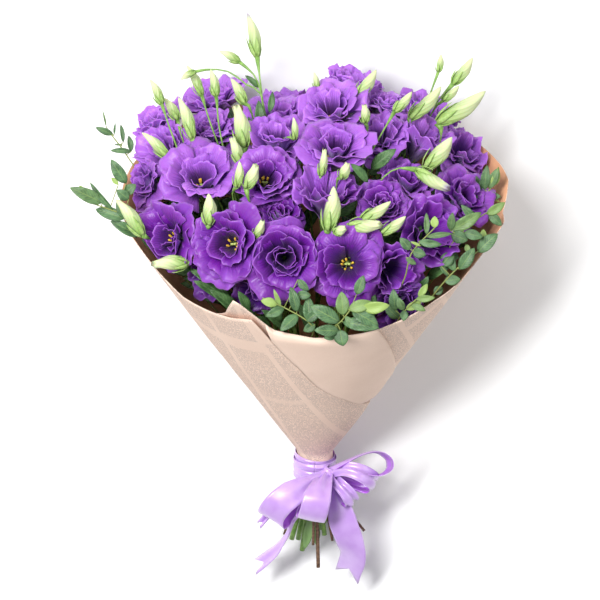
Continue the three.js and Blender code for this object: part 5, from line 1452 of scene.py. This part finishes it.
# Name, place, length, width and power
LIGHTS = (
    ("key", (-0.8, 0.6, 2.1), 1.5, 0.45, 65), ("fill", (1.4, -0.4, 1.8), 1.6, 1.6, 13),
    ("back", (0.2, 1.8, 1.2), 1.2, 0.5, 9),
)
LIT_POINT = (0, 0, 0.1)
# The camera: its place over the bunch and its film in millimetres, its distance and the width it sees in metres
CAMERA_AT, FILM_WIDTH, CAMERA_DISTANCE, SEEN_WIDTH = (-13.2, 131.1, 10100), 36, 10.0, 0.528


class BUNCH_OT_stage(bpy.types.Operator):
    """Sets the floor, the lights and the camera"""

    bl_idname = "bunch.stage"
    bl_label = "Stage"

    def execute(self, context):
        scene, link = context.scene, context.scene.collection.objects.link
        floor_mesh = bpy.data.meshes.new("floor")
        corners = [(x * FLOOR_REACH, y * FLOOR_REACH, 0) for x, y in ((-1, -1), (1, -1), (1, 1), (-1, 1))]
        floor_mesh.from_pydata(corners, [], [(0, 1, 2, 3)])
        floor = bpy.data.objects.new("floor", floor_mesh)
        link(floor)

        def build(w):
            share = w.spread(w.noise(w.object_place(), 3.0))
            return {"Base_Color": w.mix(share, FLOOR_SHADE, FLOOR_LIGHT)}

        floor_mesh.materials.append(material("floor", build, Roughness=0.9))
        world = bpy.data.worlds.new("studio")
        world.use_nodes = True
        background = world.node_tree.nodes["Background"].inputs
        background["Color"].default_value, background["Strength"].default_value = WORLD_COLOUR, WORLD_STRENGTH
        scene.world = world
        for name, at, long, wide, power in LIGHTS:
            light = bpy.data.lights.new(name, "AREA")
            light.shape, light.size, light.size_y, light.energy = "RECTANGLE", long, wide, power
            lamp = bpy.data.objects.new(name, light)
            lamp.location = at
            lamp.rotation_euler = (Vector(LIT_POINT) - Vector(at)).to_track_quat("-Z", "Y").to_euler()
            link(lamp)
        camera_data = bpy.data.cameras.new("camera")
        camera = bpy.data.objects.new("camera", camera_data)
        link(camera)
        scene.camera = camera
        camera_data.lens = FILM_WIDTH * CAMERA_DISTANCE / SEEN_WIDTH
        camera_data.clip_start, camera_data.clip_end = 0.1, 30
        origin, up, back = to_row(np.array([[0, 0, 0], [0, 1.0, 0], [0, 0, 1.0]]))
        turned = Matrix((Vector((1, 0, 0)), Vector(unit(up - origin)), Vector(unit(back - origin)))).transposed()
        camera.matrix_world = Matrix.Translation(Vector(to_row(CAMERA_AT))) @ turned.to_4x4()
        scene.view_settings.view_transform = "Standard"
        return {"FINISHED"}


class BUNCH_PT_panel(bpy.types.Panel):
    bl_label = "Bunch"
    bl_idname = "BUNCH_PT_panel"
    bl_space_type = "VIEW_3D"
    bl_region_type = "UI"
    bl_category = "Bunch"

    def draw(self, context):
        layout = self.layout
        for settings in (context.scene.bunch_sizes, context.scene.bunch_colours):
            for label in settings.__annotations__:
                layout.prop(settings, label)
        for operator in OPERATORS:
            layout.operator(operator.bl_idname)


OPERATORS = (
    BUNCH_OT_materials, BUNCH_OT_paper, BUNCH_OT_ribbon, BUNCH_OT_stems, BUNCH_OT_twigs, BUNCH_OT_blooms,
    BUNCH_OT_stage,
)
CLASSES = (BunchSizes, BunchColours, *OPERATORS, BUNCH_PT_panel)


def register():
    for each in CLASSES:
        bpy.utils.register_class(each)
    bpy.types.Scene.bunch_sizes = bpy.props.PointerProperty(type=BunchSizes)
    bpy.types.Scene.bunch_colours = bpy.props.PointerProperty(type=BunchColours)


def unregister():
    del bpy.types.Scene.bunch_colours
    del bpy.types.Scene.bunch_sizes
    for each in reversed(CLASSES):
        bpy.utils.unregister_class(each)


def main():
    register()
    bpy.ops.bunch.materials()
    bpy.ops.bunch.paper()
    bpy.ops.bunch.ribbon()
    bpy.ops.bunch.stems()
    bpy.ops.bunch.twigs()
    bpy.ops.bunch.blooms()
    bpy.ops.bunch.stage()
    bpy.context.view_layer.update()


if __name__ == "__main__":
    main()
